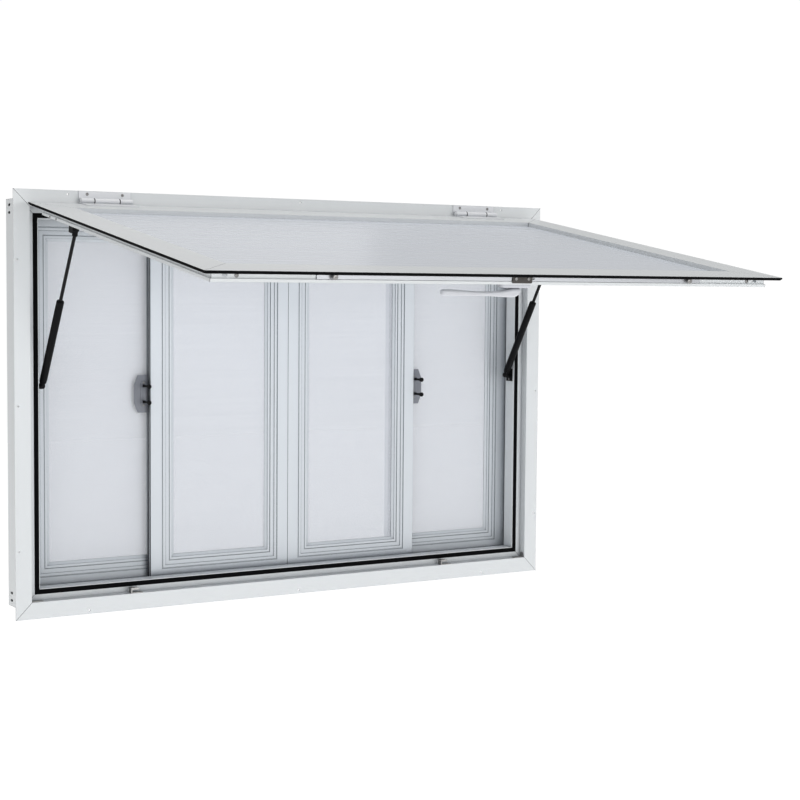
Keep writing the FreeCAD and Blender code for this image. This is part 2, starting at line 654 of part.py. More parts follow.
def lock_pieces():
    z_axis = lip_z(handle_u)
    module = 2 * gear_r / gear_teeth
    v0, v1 = gear_centre_v - gear_width / 2, gear_centre_v + gear_width / 2
    # pinion: a tooth space faces straight down on to a rack tooth
    turn = math.pi / 2 + (math.pi / gear_teeth if gear_teeth % 4 == 0 else 0)
    teeth = [(x * math.cos(turn) - z * math.sin(turn), x * math.sin(turn) + z * math.cos(turn))
             for x, z in gear_outline(gear_teeth, gear_r, 0.30)]
    wheel = prism([(lock_x + x, lip_y(v0), z_axis + z) for x, z in teeth], (0, gear_width, 0))

    def shaft(a, b, radius):
        return rod((lock_x, lip_y(a), z_axis), (lock_x, lip_y(b), z_axis), radius)

    lid_top = rail_depth
    half = spindle_half
    square = box(lock_x - half, lock_x + half, lip_y(lid_top + 0.5), lip_y(spindle_top),
                 z_axis - half, z_axis + half)
    spindle = wheel.fuse(shaft(6.3, v0, 4)).fuse(shaft(v1, lid_top + 0.5, 4.5)).fuse(square)
    parts["drive_pinion"] = opened(spindle.removeSplitter())

    pitch = math.pi * module
    pitch_z = z_axis - gear_r
    tip, root = pitch_z + 0.85 * module, pitch_z - 1.25 * module
    slope = math.tan(math.radians(20))
    half = pitch / 4 - 0.15
    start, end = lock_x - tenon_offset - rack_end, lock_x + bar_travel + rack_spare
    back = lip_z(lip_overhang + groove_depth + rail_wall + 0.7)
    first = round((start + 8 - lock_x) / pitch)
    last = round((end - 8 - lock_x) / pitch)
    outline = [(start, back), (start, root)]
    for k in range(first, last + 1):
        x = lock_x + k * pitch
        outline += [(x - half - (pitch_z - root) * slope, root), (x - half + (tip - pitch_z) * slope, tip),
                    (x + half - (tip - pitch_z) * slope, tip), (x + half + (pitch_z - root) * slope, root)]
    outline += [(end, root), (end, back)]
    rack = prism([(x, lip_y(v0), z) for x, z in outline], (0, gear_width, 0))
    bar_back = lip_z(lip_overhang + groove_depth - bar_lift)
    tenon_x = lock_x - tenon_offset
    tenon = box(tenon_x - tenon_half, tenon_x + tenon_half, lip_y(groove_mid - 2.7), lip_y(groove_mid + 2.7),
                bar_back, back)
    parts["lock_rack"] = opened(rack.fuse(tenon).removeSplitter())

    y0, y1 = lip_y(groove_top + bar_play), lip_y(groove_top + groove_width - bar_play)
    bar = box(lock_x - bar_half, lock_x + bar_half, y0, y1, bar_back - bar_thick, bar_back)
    y_mid = lip_y(groove_mid)
    for s in (-1, 1):
        # the bar travels towards -X, so each slot runs on towards +X
        a, b = lock_x + s * plate_screw_x, lock_x + s * plate_screw_x + bar_travel
        for x in (a, b):
            bar = bar.cut(rod((x, y_mid, bar_back + 1), (x, y_mid, bar_back - bar_thick - 1), 2.4))
        bar = bar.cut(box(a, b, y_mid - 2.4, y_mid + 2.4, bar_back - bar_thick - 1, bar_back + 1))
    parts["lock_bar"] = opened(bar)

    cams = []
    for s in (-1, 1):
        x = lock_x + s * cam_x
        top = bar_back - bar_thick
        stem = rod((x, y_mid, top), (x, y_mid, top - cam_length), cam_r)
        head = rod((x, y_mid, top - cam_length), (x, y_mid, top - cam_length + 2), cam_head_r)
        cams.append(stem.fuse(head).removeSplitter())
    parts["lock_cams"] = opened(compound(cams))

    out = lip_z(lip_overhang)
    case_in = lip_overhang + groove_depth + rail_wall
    face = box(lock_x - plate_half, lock_x + plate_half, y_mid - plate_tall / 2, y_mid + plate_tall / 2,
               out - 1.6, out)
    screws = []
    for s in (-1, 1):
        x = lock_x + s * plate_screw_x
        face = face.cut(rod((x, y_mid, out - 3), (x, y_mid, out + 1), plate_screw_r))
        screw = rod((x, y_mid, out - 1.6), (x, y_mid, out - 3), plate_screw_head)
        screws.append(screw.fuse(rod((x, y_mid, out - 1.6), (x, y_mid, lip_z(case_in)), plate_screw_r)))
    face = face.cut(rod((lock_x, y_mid, out - 3), (lock_x, y_mid, out - 1), 1.5))
    parts["lock_faceplate"] = opened(compound([face] + [s.removeSplitter() for s in screws]))

    low, high = lip_z(case_in), lip_z(web_offset)
    lid = lip_z(lip_overhang + inner_lip + 0.6)
    x0, x1 = lock_x - gearbox_half, lock_x + gearbox_half
    case = box(x0, x1, lip_y(4.5), lip_y(rail_depth - 2 * gearbox_wall), low, high)
    case = case.fuse(box(x0, x1, lip_y(10), lip_y(rail_depth), lid, high))
    case = case.cut(box(x0 + gearbox_wall, x1 - gearbox_wall, lip_y(6.2),
                        lip_y(rail_depth - 3 * gearbox_wall), low - 1, high - 0.9))
    case = case.cut(box(x0 - 1, x1 + 1, lip_y(v0 - 0.5), lip_y(v1 + 0.5), low - 1, tip + 0.6))
    case = case.cut(shaft(rail_depth - 6, rail_depth + 1, 4.5 + fit_gap))
    parts["lock_gearbox"] = opened(case.removeSplitter())


def handle_pieces():
    z_axis = lip_z(handle_u)
    base_top = rail_depth + handle_base_tall
    half_wide = handle_base_wide / 2
    y0, y1 = lip_y(rail_depth), lip_y(base_top)
    x0, x1 = lock_x - handle_base_half, lock_x + handle_base_half
    base = box(x0, x1, y0, y1, z_axis - half_wide, z_axis + half_wide)
    upright = [edge for edge in base.Edges if abs(edge.tangentAt(edge.FirstParameter).y) > 0.9]
    base = base.makeFillet(half_wide - 1.5, upright)
    base = base.cut(rod((lock_x, y0 - 1, z_axis), (lock_x, y1 + 1, z_axis), 6))
    parts["handle_base"] = opened(base)

    # lever: stations are (distance from the axis, height over the base, half thickness, half width)
    stations = [(13.5, 11, 5.5, 6), (11, 11, 8.5, 9.5), (0, 11.5, 9.8, 10.8), (-22, 13, 8.5, 9.5),
                (-60, 14, 6.2, 7.5), (-110, 13, 5.6, 7.5), (-150, 12, 6.6, 9), (-175, 11.5, 7.2, 9),
                (-lever_length, 11.5, 4.5, 6)]
    wires = []
    for x, height, thick, wide in stations:
        centre = V(lock_x + x, lip_y(base_top + height), z_axis)
        major, minor = max(thick, wide), min(thick, wide)
        ellipse = Part.Ellipse(centre + V(0, 0, major), centre + V(0, minor, 0), centre)
        wires.append(Part.Wire(ellipse.toShape()))
    grip = Part.makeLoft(wires, True, False)
    hub = rod((lock_x, lip_y(base_top + 0.4), z_axis), (lock_x, lip_y(spindle_top - 1), z_axis), 10.5)
    lever = grip.fuse(hub)
    half = spindle_half + fit_gap
    lever = lever.cut(box(lock_x - half, lock_x + half, lip_y(base_top - 1), lip_y(spindle_top + 0.2),
                          z_axis - half, z_axis + half))
    parts["handle_lever"] = opened(lever)


def lock_keeps():
    floor = -half_h + reveal_u
    y_mid = lip_y(groove_mid)
    head_low = lip_z(lip_overhang + groove_depth - bar_lift) - bar_thick - cam_length
    tongue_low = head_low + 2.6
    tongue_high = lip_z(lip_overhang) - 1.6
    keeps, screws = [], []
    y0, y1 = 1 - flange_thick, rib_depth - rib_width / 2 - 0.5
    near, beyond = y_mid - cam_r - keep_gap, y_mid + cam_r + keep_gap
    for s in (-1, 1):
        x = lock_x + s * cam_x - keep_offset
        tip, far = x + keep_offset - cam_head_r - 2, x - keep_half
        base = box(far, x + keep_half, y0, y1, floor, floor + 2)
        post = box(far, far + 3, y0, y1, floor, tongue_high)
        front = box(far, tip, near - 1.8, near, tongue_low, tongue_high)
        back = box(far, tip, beyond, beyond + 2.6, tongue_low, tongue_high)
        keeps.append(base.fuse(post).fuse(front).fuse(back).removeSplitter())
        screws.append(rod((x + 10, y1 - 5, floor + 2), (x + 10, y1 - 5, floor + 3.2), 2.8))
    parts["lock_keeps"] = compound(keeps)
    return screws


# ---------------------------------------------------------------- sash latches
def latch_pieces():
    """The left latch sits behind sash 2's outer edge; the right one mirrors it."""
    edge = sash_inner[2]
    y0 = front_sash_y + sash_depth
    x0, x1 = edge - latch_reach, edge + latch_tuck
    z0, z1 = latch_z - latch_half, latch_z + latch_half
    cx, cz = latch_corner
    outline = [(x0 + cx, z0), (x1 - cx, z0), (x1, z0 + cz), (x1, z1 - cz), (x1 - cx, z1), (x0 + cx, z1),
               (x0, z1 - cz), (x0, z0 + cz)]
    plate = prism([(x, y0, z) for x, z in outline], (0, latch_thick, 0))
    lever_x = edge - lever_gap - finger_size / 2
    levers = {}
    for name, sign in (("upper", 1), ("lower", -1)):
        z = latch_z + sign * finger_pitch / 2
        pivot_y = y0 - latch_pivot_back
        ear_x = lever_x - finger_size / 2 - 0.4
        ear = box(ear_x - 2, ear_x, y0 - 9, y0, z - 4, z + 4)
        ear = ear.fuse(rod((ear_x - 2, pivot_y, z), (lever_x + finger_size / 2 + 1, pivot_y, z), latch_pin_r))
        plate = plate.fuse(ear)
        tip_y = y0 - finger_length
        arm = box(lever_x - finger_size / 2, lever_x + finger_size / 2, tip_y + 4, pivot_y,
                  z - finger_size / 4, z + finger_size / 4)
        left, right = lever_x - finger_size / 2, lever_x + finger_size / 2
        arm = arm.fuse(rod((left, pivot_y, z), (right, pivot_y, z), 3.4))
        arm = arm.fuse(rod((lever_x, tip_y, z), (lever_x, tip_y + 8, z), 4.6))
        arm = arm.cut(rod((lever_x, tip_y - 1, z), (lever_x, tip_y + 3, z), 2.2))
        arm = arm.cut(rod((lever_x - finger_size, pivot_y, z), (lever_x + finger_size, pivot_y, z),
                          latch_pin_r + fit_gap))
        levers[name] = arm.removeSplitter()
        print(f"latch {name} pivot ({lever_x:.2f}, {pivot_y:.2f}, {z:.2f})")
    plate = plate.removeSplitter()
    parts["latch_plate_left"] = plate
    parts["latch_plate_right"] = mirror_x(plate)
    for name, shape in levers.items():
        parts[f"latch_lever_left_{name}"] = shape
        parts[f"latch_lever_right_{name}"] = mirror_x(shape)


# ---------------------------------------------------------------- build
frame_members()
frame_fittings()
sash_tracks()
for index in (1, 2, 3, 4):
    sash(index)
awning_rails()
awning_infill()
awning_screws()
loose_screws = hinge_pieces()
loose_screws += strut_pieces()
lock_pieces()
handle_pieces()
loose_screws += lock_keeps()
latch_pieces()
parts["frame_screws"] = compound(loose_screws)

os.makedirs("parts", exist_ok=True)
for name, shape in parts.items():
    shape.exportStep(f"parts/{name}.step")
    print(f"{name:28s} {len(shape.Solids)} solids, valid {shape.isValid()}, {shape.Volume / 1000:.1f} cm3")
print(len(parts), "nodes")
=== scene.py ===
# %% [markdown]
# # A serving window with a top-hung awning sash
# The real object is a powder-coated aluminium frame that screws to a wall. An awning sash hangs from two
# hinges at its head, two gas struts hold it open, and four sliding insect screens close the opening.
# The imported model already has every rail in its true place, so this script starts from it. Straight
# extrusions stay as they are and get a finish. Moulded, turned and woven pieces are built again here,
# because a plain solid can't show a rolled tube end, a bulb seal or a wire mesh.

# %% Load the frame
import bpy
import bmesh
import json
import math
from mathutils import Matrix, Vector


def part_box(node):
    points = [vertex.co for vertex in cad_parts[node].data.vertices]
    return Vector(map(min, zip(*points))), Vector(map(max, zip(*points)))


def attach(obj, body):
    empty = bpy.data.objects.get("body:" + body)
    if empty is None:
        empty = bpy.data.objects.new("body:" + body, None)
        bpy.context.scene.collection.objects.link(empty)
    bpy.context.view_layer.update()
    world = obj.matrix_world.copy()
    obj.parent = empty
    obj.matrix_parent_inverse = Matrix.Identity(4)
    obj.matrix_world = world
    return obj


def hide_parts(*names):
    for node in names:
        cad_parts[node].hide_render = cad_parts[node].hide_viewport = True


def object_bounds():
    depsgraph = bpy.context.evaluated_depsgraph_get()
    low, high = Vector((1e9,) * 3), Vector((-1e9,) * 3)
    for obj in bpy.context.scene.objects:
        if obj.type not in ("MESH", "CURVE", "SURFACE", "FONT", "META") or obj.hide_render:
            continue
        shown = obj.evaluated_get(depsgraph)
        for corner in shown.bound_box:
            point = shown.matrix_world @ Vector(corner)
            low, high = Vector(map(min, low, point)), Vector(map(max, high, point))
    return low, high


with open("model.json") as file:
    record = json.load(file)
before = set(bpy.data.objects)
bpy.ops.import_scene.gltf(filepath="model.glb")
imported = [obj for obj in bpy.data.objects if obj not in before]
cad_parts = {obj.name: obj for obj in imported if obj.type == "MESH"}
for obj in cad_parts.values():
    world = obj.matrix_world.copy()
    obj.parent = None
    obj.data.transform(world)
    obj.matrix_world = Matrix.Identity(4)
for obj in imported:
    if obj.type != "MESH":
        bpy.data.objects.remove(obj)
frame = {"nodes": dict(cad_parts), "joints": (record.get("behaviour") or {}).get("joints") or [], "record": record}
cad_box = [list(corner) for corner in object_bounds()]
nodes = frame["nodes"]
joints = {joint["name"]: joint for joint in frame["joints"]}
MM = 0.001
print("nodes", len(nodes), "box", [[round(v, 3) for v in corner] for corner in cad_box])

# %% [markdown]
# ## Places taken from the frame
# The awning is stored open. Its pieces are easier to describe shut, when its rails lie along X and Z, so
# they are built shut and then swung open about the hinge axis. Both the axis and the angle come from
# the joint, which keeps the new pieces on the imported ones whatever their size.

# %% The awning's swing
swing = joints["awning_swing"]
pivot = Vector(swing["pos_m"])
open_angle = math.radians(-swing["range_deg"][0])
SWING_OPEN = Matrix.Translation(pivot) @ Matrix.Rotation(-open_angle, 4, "X") @ Matrix.Translation(-pivot)
SWING_SHUT = SWING_OPEN.inverted()
print("awning opens", round(math.degrees(open_angle), 1), "degrees about", tuple(round(v, 4) for v in pivot))

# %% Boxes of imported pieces
WELD = 1e-5


def box_of(points):
    """The low and high corners round some points."""
    points = list(points)
    return (Vector(min(point[i] for point in points) for i in range(3)),
            Vector(max(point[i] for point in points) for i in range(3)))


def shut_box(node):
    """Corners of an awning node with the awning shut."""
    return box_of(SWING_SHUT @ vertex.co for vertex in nodes[node].data.vertices)


def islands(node, shut=False):
    """Boxes of the separate solids in one node, as (low, high) pairs, with the awning shut if asked."""
    mesh = bmesh.new()
    mesh.from_mesh(nodes[node].data)
    if shut:
        bmesh.ops.transform(mesh, matrix=SWING_SHUT, verts=mesh.verts)
    bmesh.ops.remove_doubles(mesh, verts=mesh.verts, dist=WELD)
    waiting, boxes = set(mesh.verts), []
    while waiting:
        stack, group = [waiting.pop()], []
        while stack:
            vertex = stack.pop()
            group.append(vertex.co.copy())
            for edge in vertex.link_edges:
                other = edge.other_vert(vertex)
                if other in waiting:
                    waiting.remove(other)
                    stack.append(other)
        boxes.append(box_of(group))
    mesh.free()
    return sorted(boxes, key=lambda box: tuple(round(v, 4) for v in (box[0].x, box[0].z, box[0].y)))


print("frame screws", len(islands("frame_screws")), "awning screws", len(islands("awning_screws")))

# %% [markdown]
# ## Camera
# The window is seen from outside, from its left and a little below its middle, so the open awning shows
# its outer face. A moderately long lens keeps the perspective gentle. The lens shift only slides the
# window sideways in the picture, which keeps its upright edges upright.

# %% Camera
CAMERA_PLACE = Vector((-2.084, -3.781, 0.271))
CAMERA_YAW = math.radians(30.67)
CAMERA_PITCH = math.radians(-3.66)
CAMERA_ROLL = math.radians(0.35)


def new_object(name, data):
    """Puts some data into the scene as an object."""
    made = bpy.data.objects.new(name, data)
    bpy.context.scene.collection.objects.link(made)
    return made


camera_data = bpy.data.cameras.new("camera")
camera_data.lens = 75.6
camera_data.sensor_width = 36.0
camera_data.shift_x = 0.06
camera_data.clip_end = 60.0
camera = new_object("camera", camera_data)
bpy.context.scene.camera = camera
aim = (Matrix.Rotation(-CAMERA_YAW, 4, "Z") @ Matrix.Rotation(math.pi / 2 + CAMERA_PITCH, 4, "X")
       @ Matrix.Rotation(CAMERA_ROLL, 4, "Z"))
camera.matrix_world = Matrix.Translation(CAMERA_PLACE) @ aim
print("camera at", tuple(round(v, 2) for v in CAMERA_PLACE), "lens", camera_data.lens)

# %% [markdown]
# ## Studio
# White metal only reads as metal if it has something to mirror. Large soft lamps give broad, even light,
# and a white surround fills the shadows. The lamp at the left side is weak and the one in front does most
# of the work: faces that turn to the left stay greyer than the fronts, which is what separates one white
# edge from the next. Only what the camera sees directly is lifted to white, so the backdrop is clean while the
# light that falls on the metal keeps some shape.

# %% Lamps
def soft_lamp(name, place, target, size, watts):
    """A rectangular lamp at place, turned towards target."""
    lamp_data = bpy.data.lights.new(name, "AREA")
    lamp_data.shape = "RECTANGLE"
    lamp_data.size, lamp_data.size_y = size
    lamp_data.energy = watts
    lamp = new_object(name, lamp_data)
    lamp.location = place
    lamp.rotation_euler = (Vector(target) - Vector(place)).to_track_quat("-Z", "Y").to_euler()


soft_lamp("side_lamp", (-4.2, -3.2, 1.6), (0, -0.3, 0), (1.8, 1.8), 16)
soft_lamp("front_lamp", (2.6, -8.5, -0.2), (0, 0, -0.1), (4.2, 2.6), 120)
soft_lamp("top_lamp", (0.4, -1.0, 3.6), (0, -0.4, 0), (3.0, 2.0), 46)
soft_lamp("back_lamp", (0.5, 3.4, 1.2), (0, 0, 0), (3.4, 2.4), 8)

# %% White surround
SURROUND_LIGHT = 0.52
BACKDROP_LIFT = 0.50

world = bpy.data.worlds.new("studio")
world.use_nodes = True
surround = world.node_tree
background = surround.nodes["Background"]
background.inputs["Color"].default_value = (1.0, 1.0, 1.0, 1.0)
ray = surround.nodes.new("ShaderNodeLightPath")
lift = surround.nodes.new("ShaderNodeMath")
lift.operation = "MULTIPLY_ADD"
lift.inputs[1].default_value, lift.inputs[2].default_value = BACKDROP_LIFT, SURROUND_LIGHT
surround.links.new(ray.outputs["Is Camera Ray"], lift.inputs[0])
surround.links.new(lift.outputs[0], background.inputs["Strength"])
bpy.context.scene.world = world
bpy.context.scene.view_settings.view_transform = "Standard"
bpy.context.scene.view_settings.gamma = 0.82
print("surround", SURROUND_LIGHT, "and", SURROUND_LIGHT + BACKDROP_LIFT, "where the camera sees it directly")

# %% [markdown]
# ## Node helpers
# Most finishes here are one wide group of nodes. A small helper that adds a node, sets its inputs and
# links what feeds it keeps each recipe short enough to read as a list of steps.

# %% Node helpers
def feed(tree, socket, value):
    """Sets a socket to a plain value, or links it to the socket that feeds it."""
    if isinstance(value, bpy.types.NodeSocket):
        tree.links.new(value, socket)
    else:
        socket.default_value = value


def add_node(tree, kind, inputs=None, **settings):
    node = tree.nodes.new(kind)
    for key, value in settings.items():
        setattr(node, key, value)
    for key, value in (inputs or {}).items():
        feed(tree, node.inputs[key], value)
    return node


def arithmetic(tree, operation, first, second=0.0, clamp=False):
    return add_node(tree, "ShaderNodeMath", {0: first, 1: second}, operation=operation,
                    use_clamp=clamp).outputs[0]


def times(tree, first, second, clamp=False):
    return arithmetic(tree, "MULTIPLY", first, second, clamp)


def minus(tree, first, second, clamp=False):
    return arithmetic(tree, "SUBTRACT", first, second, clamp)


def scaled(tree, value, factor, offset):
    """The value times a factor, plus an offset."""
    return add_node(tree, "ShaderNodeMath", {0: value, 1: factor, 2: offset},
                    operation="MULTIPLY_ADD").outputs[0]


def mixed_colour(tree, share, first, second, blend="MIX"):
    return add_node(tree, "ShaderNodeMix", {"Factor": share, 6: first, 7: second}, data_type="RGBA",
                    blend_type=blend).outputs[2]


def place_on(tree):
    """The point that is being shaded, in the piece's own metres."""
    return add_node(tree, "ShaderNodeTexCoord").outputs["Object"]


def noise(tree, place, scale, detail=2.0, rough=0.5):
    return add_node(tree, "ShaderNodeTexNoise", {"Vector": place, "Scale": scale, "Detail": detail,
                                                 "Roughness": rough}).outputs[0]


print("node helpers ready")

# %% Group helpers
def new_group(name, inputs, outputs):
    """An empty shader group with named sockets.  Inputs are (name, kind, default)."""
    group = bpy.data.node_groups.new(name, "ShaderNodeTree")
    for label, kind, default in inputs:
        socket = group.interface.new_socket(name=label, in_out="INPUT", socket_type="NodeSocket" + kind)
        socket.default_value = default
    for label, kind in outputs:
        group.interface.new_socket(name=label, in_out="OUTPUT", socket_type="NodeSocket" + kind)
    entry = group.nodes.new("NodeGroupInput")
    leave = group.nodes.new("NodeGroupOutput")
    return group, entry.outputs, leave.inputs


def put_out(group, result, **values):
    """Links the finished values of a group to its outputs and says how big it is."""
    for label, value in values.items():
        group.links.new(value, result[label])
    print(group.name, len(group.nodes), "nodes")


def use_group(tree, group, **inputs):
    """Places a group in a tree.  An underscore in an input's name stands for a space."""
    named = {label.replace("_", " "): value for label, value in inputs.items()}
    return add_node(tree, "ShaderNodeGroup", named, node_tree=group).outputs


print("group helpers ready")

# %% [markdown]
# ## Shared effects
# Six effects come back in several finishes. *Powder grain* is the faint orange peel of baked powder,
# with a slow change of tone. *Die lines* are the hair-fine streaks that an extrusion die leaves along a
# rail. *Worn edges* finds the corners by comparing the true normal with a rounded one, and its rounded
# normal also makes a sharp edge catch light like a real one. *Settled dust* lies on faces that look up.
# *Corner shade* darkens grooves and inner corners with painted shade, standing in for the shadow that falls where
# light hardly reaches.
# *Mitre lines* draws the hairline gap where two rails meet at 45 degrees. It needs only the outline's half
# width and half height, because every point on a mitre is equally far from both outer edges.
# Each is a group with plain inputs, so a finish picks only how strong and how fine it is.

# %% Powder grain
powder_grain, given, result = new_group(
    "powder_grain",
    [("Colour", "Color", (0.8, 0.8, 0.8, 1)), ("Mottle", "Float", 0.03), ("Grain Scale", "Float", 900.0)],
    [("Colour", "Color"), ("Height", "Float"), ("Cloud", "Float")])
place = place_on(powder_grain)
peel = noise(powder_grain, place, given["Grain Scale"], 3.0, 0.6)
cloud = noise(powder_grain, place, 3.5, 4.0)
speck = times(powder_grain, minus(powder_grain, peel, 0.5), 0.5)
tone = arithmetic(powder_grain, "ADD", speck, minus(powder_grain, cloud, 0.5))
tone = scaled(powder_grain, tone, given["Mottle"], 1.0)
shade = add_node(powder_grain, "ShaderNodeCombineColor", {0: tone, 1: tone, 2: tone}).outputs[0]
put_out(powder_grain, result, Colour=mixed_colour(powder_grain, 1.0, given["Colour"], shade, "MULTIPLY"),
        Height=peel, Cloud=cloud)

# %% Die lines
STREAK_STRETCH = 0.004

die_lines, given, result = new_group(
    "die_lines",
    [("Upright", "Float", 0.0), ("Fineness", "Float", 1400.0)],
    [("Lines", "Float")])
parts = add_node(die_lines, "ShaderNodeSeparateXYZ", {0: place_on(die_lines)}).outputs
long_x, long_z = (times(die_lines, parts[i], STREAK_STRETCH) for i in (0, 2))
along_x = add_node(die_lines, "ShaderNodeCombineXYZ", {0: long_x, 1: parts[1], 2: parts[2]}).outputs[0]
along_z = add_node(die_lines, "ShaderNodeCombineXYZ", {0: parts[0], 1: parts[1], 2: long_z}).outputs[0]
run = add_node(die_lines, "ShaderNodeMix", {"Factor": given["Upright"], 4: along_x, 5: along_z},
               data_type="VECTOR").outputs[1]
put_out(die_lines, result, Lines=noise(die_lines, run, given["Fineness"]))

# %% Worn edges
worn_edges, given, result = new_group(
    "worn_edges",
    [("Radius", "Float", 0.0008), ("Wear", "Float", 0.5)],
    [("Mask", "Float"), ("Normal", "Vector")])
rounded = add_node(worn_edges, "ShaderNodeBevel", {"Radius": given["Radius"]}, samples=4).outputs[0]
true_normal = add_node(worn_edges, "ShaderNodeNewGeometry").outputs["Normal"]
match = add_node(worn_edges, "ShaderNodeVectorMath", {0: rounded, 1: true_normal},
                 operation="DOT_PRODUCT").outputs["Value"]
corner = times(worn_edges, minus(worn_edges, 1.0, match, clamp=True), 6.0)
patch = noise(worn_edges, place_on(worn_edges), 60.0, 4.0)
mask = times(worn_edges, corner, patch, clamp=True)
put_out(worn_edges, result, Mask=times(worn_edges, mask, given["Wear"]), Normal=rounded)

# %% Settled dust
settled_dust, given, result = new_group(
    "settled_dust", [("Amount", "Float", 0.1)], [("Mask", "Float")])
coordinates = add_node(settled_dust, "ShaderNodeTexCoord").outputs
up = add_node(settled_dust, "ShaderNodeSeparateXYZ", {0: coordinates["Normal"]}).outputs[2]
drift = noise(settled_dust, coordinates["Object"], 28.0, 6.0)
lying = times(settled_dust, arithmetic(settled_dust, "MAXIMUM", up, 0.0), drift)
put_out(settled_dust, result, Mask=times(settled_dust, lying, given["Amount"]))

# %% Painted corner shade
# Painted shade: the colour that grooves and inner corners are darkened towards, more the more they are hidden from
# their surroundings.
CORNER_SHADE = (0.13, 0.15, 0.18, 1)

painted_corner_shade, given, result = new_group(
    "painted_corner_shade",
    [("Colour", "Color", (0.8, 0.8, 0.8, 1)), ("Reach", "Float", 0.02), ("Depth", "Float", 0.6)],
    [("Colour", "Color")])
open_sky = add_node(painted_corner_shade, "ShaderNodeAmbientOcclusion", {"Distance": given["Reach"]}, samples=4)
hidden = minus(painted_corner_shade, 1.0, open_sky.outputs["AO"], clamp=True)
hidden = times(painted_corner_shade, times(painted_corner_shade, hidden, 1.5, clamp=True), given["Depth"])
put_out(painted_corner_shade, result, Colour=mixed_colour(painted_corner_shade, hidden, given["Colour"], CORNER_SHADE))

# %% Mitre lines
mitre_lines, given, result = new_group(
    "mitre_lines",
    [("Place", "Vector", (0, 0, 0)), ("Half Width", "Float", 0.7), ("Half Height", "Float", 0.5),
     ("Middle", "Float", 0.0), ("Gap", "Float", 0.0005)],
    [("Mask", "Float")])
parts = add_node(mitre_lines, "ShaderNodeSeparateXYZ", {0: given["Place"]}).outputs
sideways = arithmetic(mitre_lines, "ABSOLUTE", parts[0])
level = arithmetic(mitre_lines, "ABSOLUTE", minus(mitre_lines, parts[2], given["Middle"]))
from_side = minus(mitre_lines, given["Half Width"], sideways)
from_end = minus(mitre_lines, given["Half Height"], level)
apart = arithmetic(mitre_lines, "ABSOLUTE", minus(mitre_lines, from_side, from_end))
put_out(mitre_lines, result, Mask=arithmetic(mitre_lines, "LESS_THAN", apart, given["Gap"]))

# %% [markdown]
# ## Finishes
# A finish is one material whose shader stays outside the groups. Everything that is the same all over a
# surface, such as the strength of its gloss, is set straight on the shader. Only what changes over the
# surface comes through links: colour, roughness and the fine bumps.

# %% Base finish
DUST = (0.46, 0.44, 0.41, 1)


def finish_tree(name, metallic=0.0, gloss=0.5):
    """A new material, its nodes and its shader."""
    material = bpy.data.materials.new(name)
    material.use_nodes = True
    tree = material.node_tree
    shader = tree.nodes["Principled BSDF"]
    shader.inputs["Metallic"].default_value = metallic
    shader.inputs["Specular IOR Level"].default_value = gloss
    return material, tree, shader


def cover(tree, shader, colour, rough, height, strength, distance=0.0002, normal=None):
    """Feeds the shader its colour, its roughness and its fine bumps."""
    bump = add_node(tree, "ShaderNodeBump", {"Strength": strength, "Distance": distance, "Height": height})
    if normal:
        tree.links.new(normal, bump.inputs["Normal"])
    for label, value in (("Base Color", colour), ("Roughness", rough), ("Normal", bump.outputs[0])):
        feed(tree, shader.inputs[label], value)


def tinted(colour, factor, lift=0.0):
    """A colour made darker or paler."""
    return (*(min(1.0, c * factor + lift) for c in colour), 1)


print("base finish ready")

# %% Coated, bare and moulded
MITRE_SHADE = (0.10, 0.10, 0.11, 1)


def coated(name, colour, rough, upright=0.0, lines=0.03, wear=0.35, depth=0.28, mitre=None):
    """Baked powder coat on metal, with its grain, die lines, soft edges, a little dust and painted shade in its
    corners.
    """
    material, tree, shader = finish_tree(name)
    grain = use_group(tree, powder_grain, Colour=(*colour, 1), Mottle=0.04, Grain_Scale=1100.0)
    streaks = use_group(tree, die_lines, Upright=upright, Fineness=1500.0)["Lines"]
    edges = use_group(tree, worn_edges, Radius=0.0008, Wear=wear)
    dusty = use_group(tree, settled_dust, Amount=0.06)["Mask"]
    darker = tinted(colour, 0.8)
    shown = mixed_colour(tree, times(tree, streaks, lines), grain["Colour"], darker)
    shown = mixed_colour(tree, edges["Mask"], shown, darker)
    shown = mixed_colour(tree, dusty, shown, DUST)
    # Painted shade: grooves and inner corners darkened towards a blue-grey, standing in for the shadow that falls
    # there.
    shown = use_group(tree, painted_corner_shade, Colour=shown, Reach=0.018, Depth=depth)["Colour"]
    if mitre:
        shown = mixed_colour(tree, mitre(tree), shown, MITRE_SHADE)
    height = arithmetic(tree, "ADD", times(tree, grain["Height"], 0.6), times(tree, streaks, 0.4))
    cover(tree, shader, shown, scaled(tree, grain["Cloud"], 0.16, rough - 0.08), height, 0.10,
          normal=edges["Normal"])
    return material


def bare_metal(name, colour, rough, blotch=0.25):
    """Plated or mill-finish metal, with blotches in its tone and its roughness."""
    material, tree, shader = finish_tree(name, metallic=1.0)
    grain = use_group(tree, powder_grain, Colour=(*colour, 1), Mottle=blotch, Grain_Scale=420.0)
    streaks = use_group(tree, die_lines, Upright=0.0, Fineness=1100.0)["Lines"]
    edges = use_group(tree, worn_edges, Radius=0.0004, Wear=0.6)
    shown = mixed_colour(tree, edges["Mask"], grain["Colour"], tinted(colour, 1.25))
    uneven = scaled(tree, arithmetic(tree, "ADD", grain["Cloud"], streaks), 0.14, rough - 0.14)
    cover(tree, shader, shown, uneven, streaks, 0.12, normal=edges["Normal"])
    return material


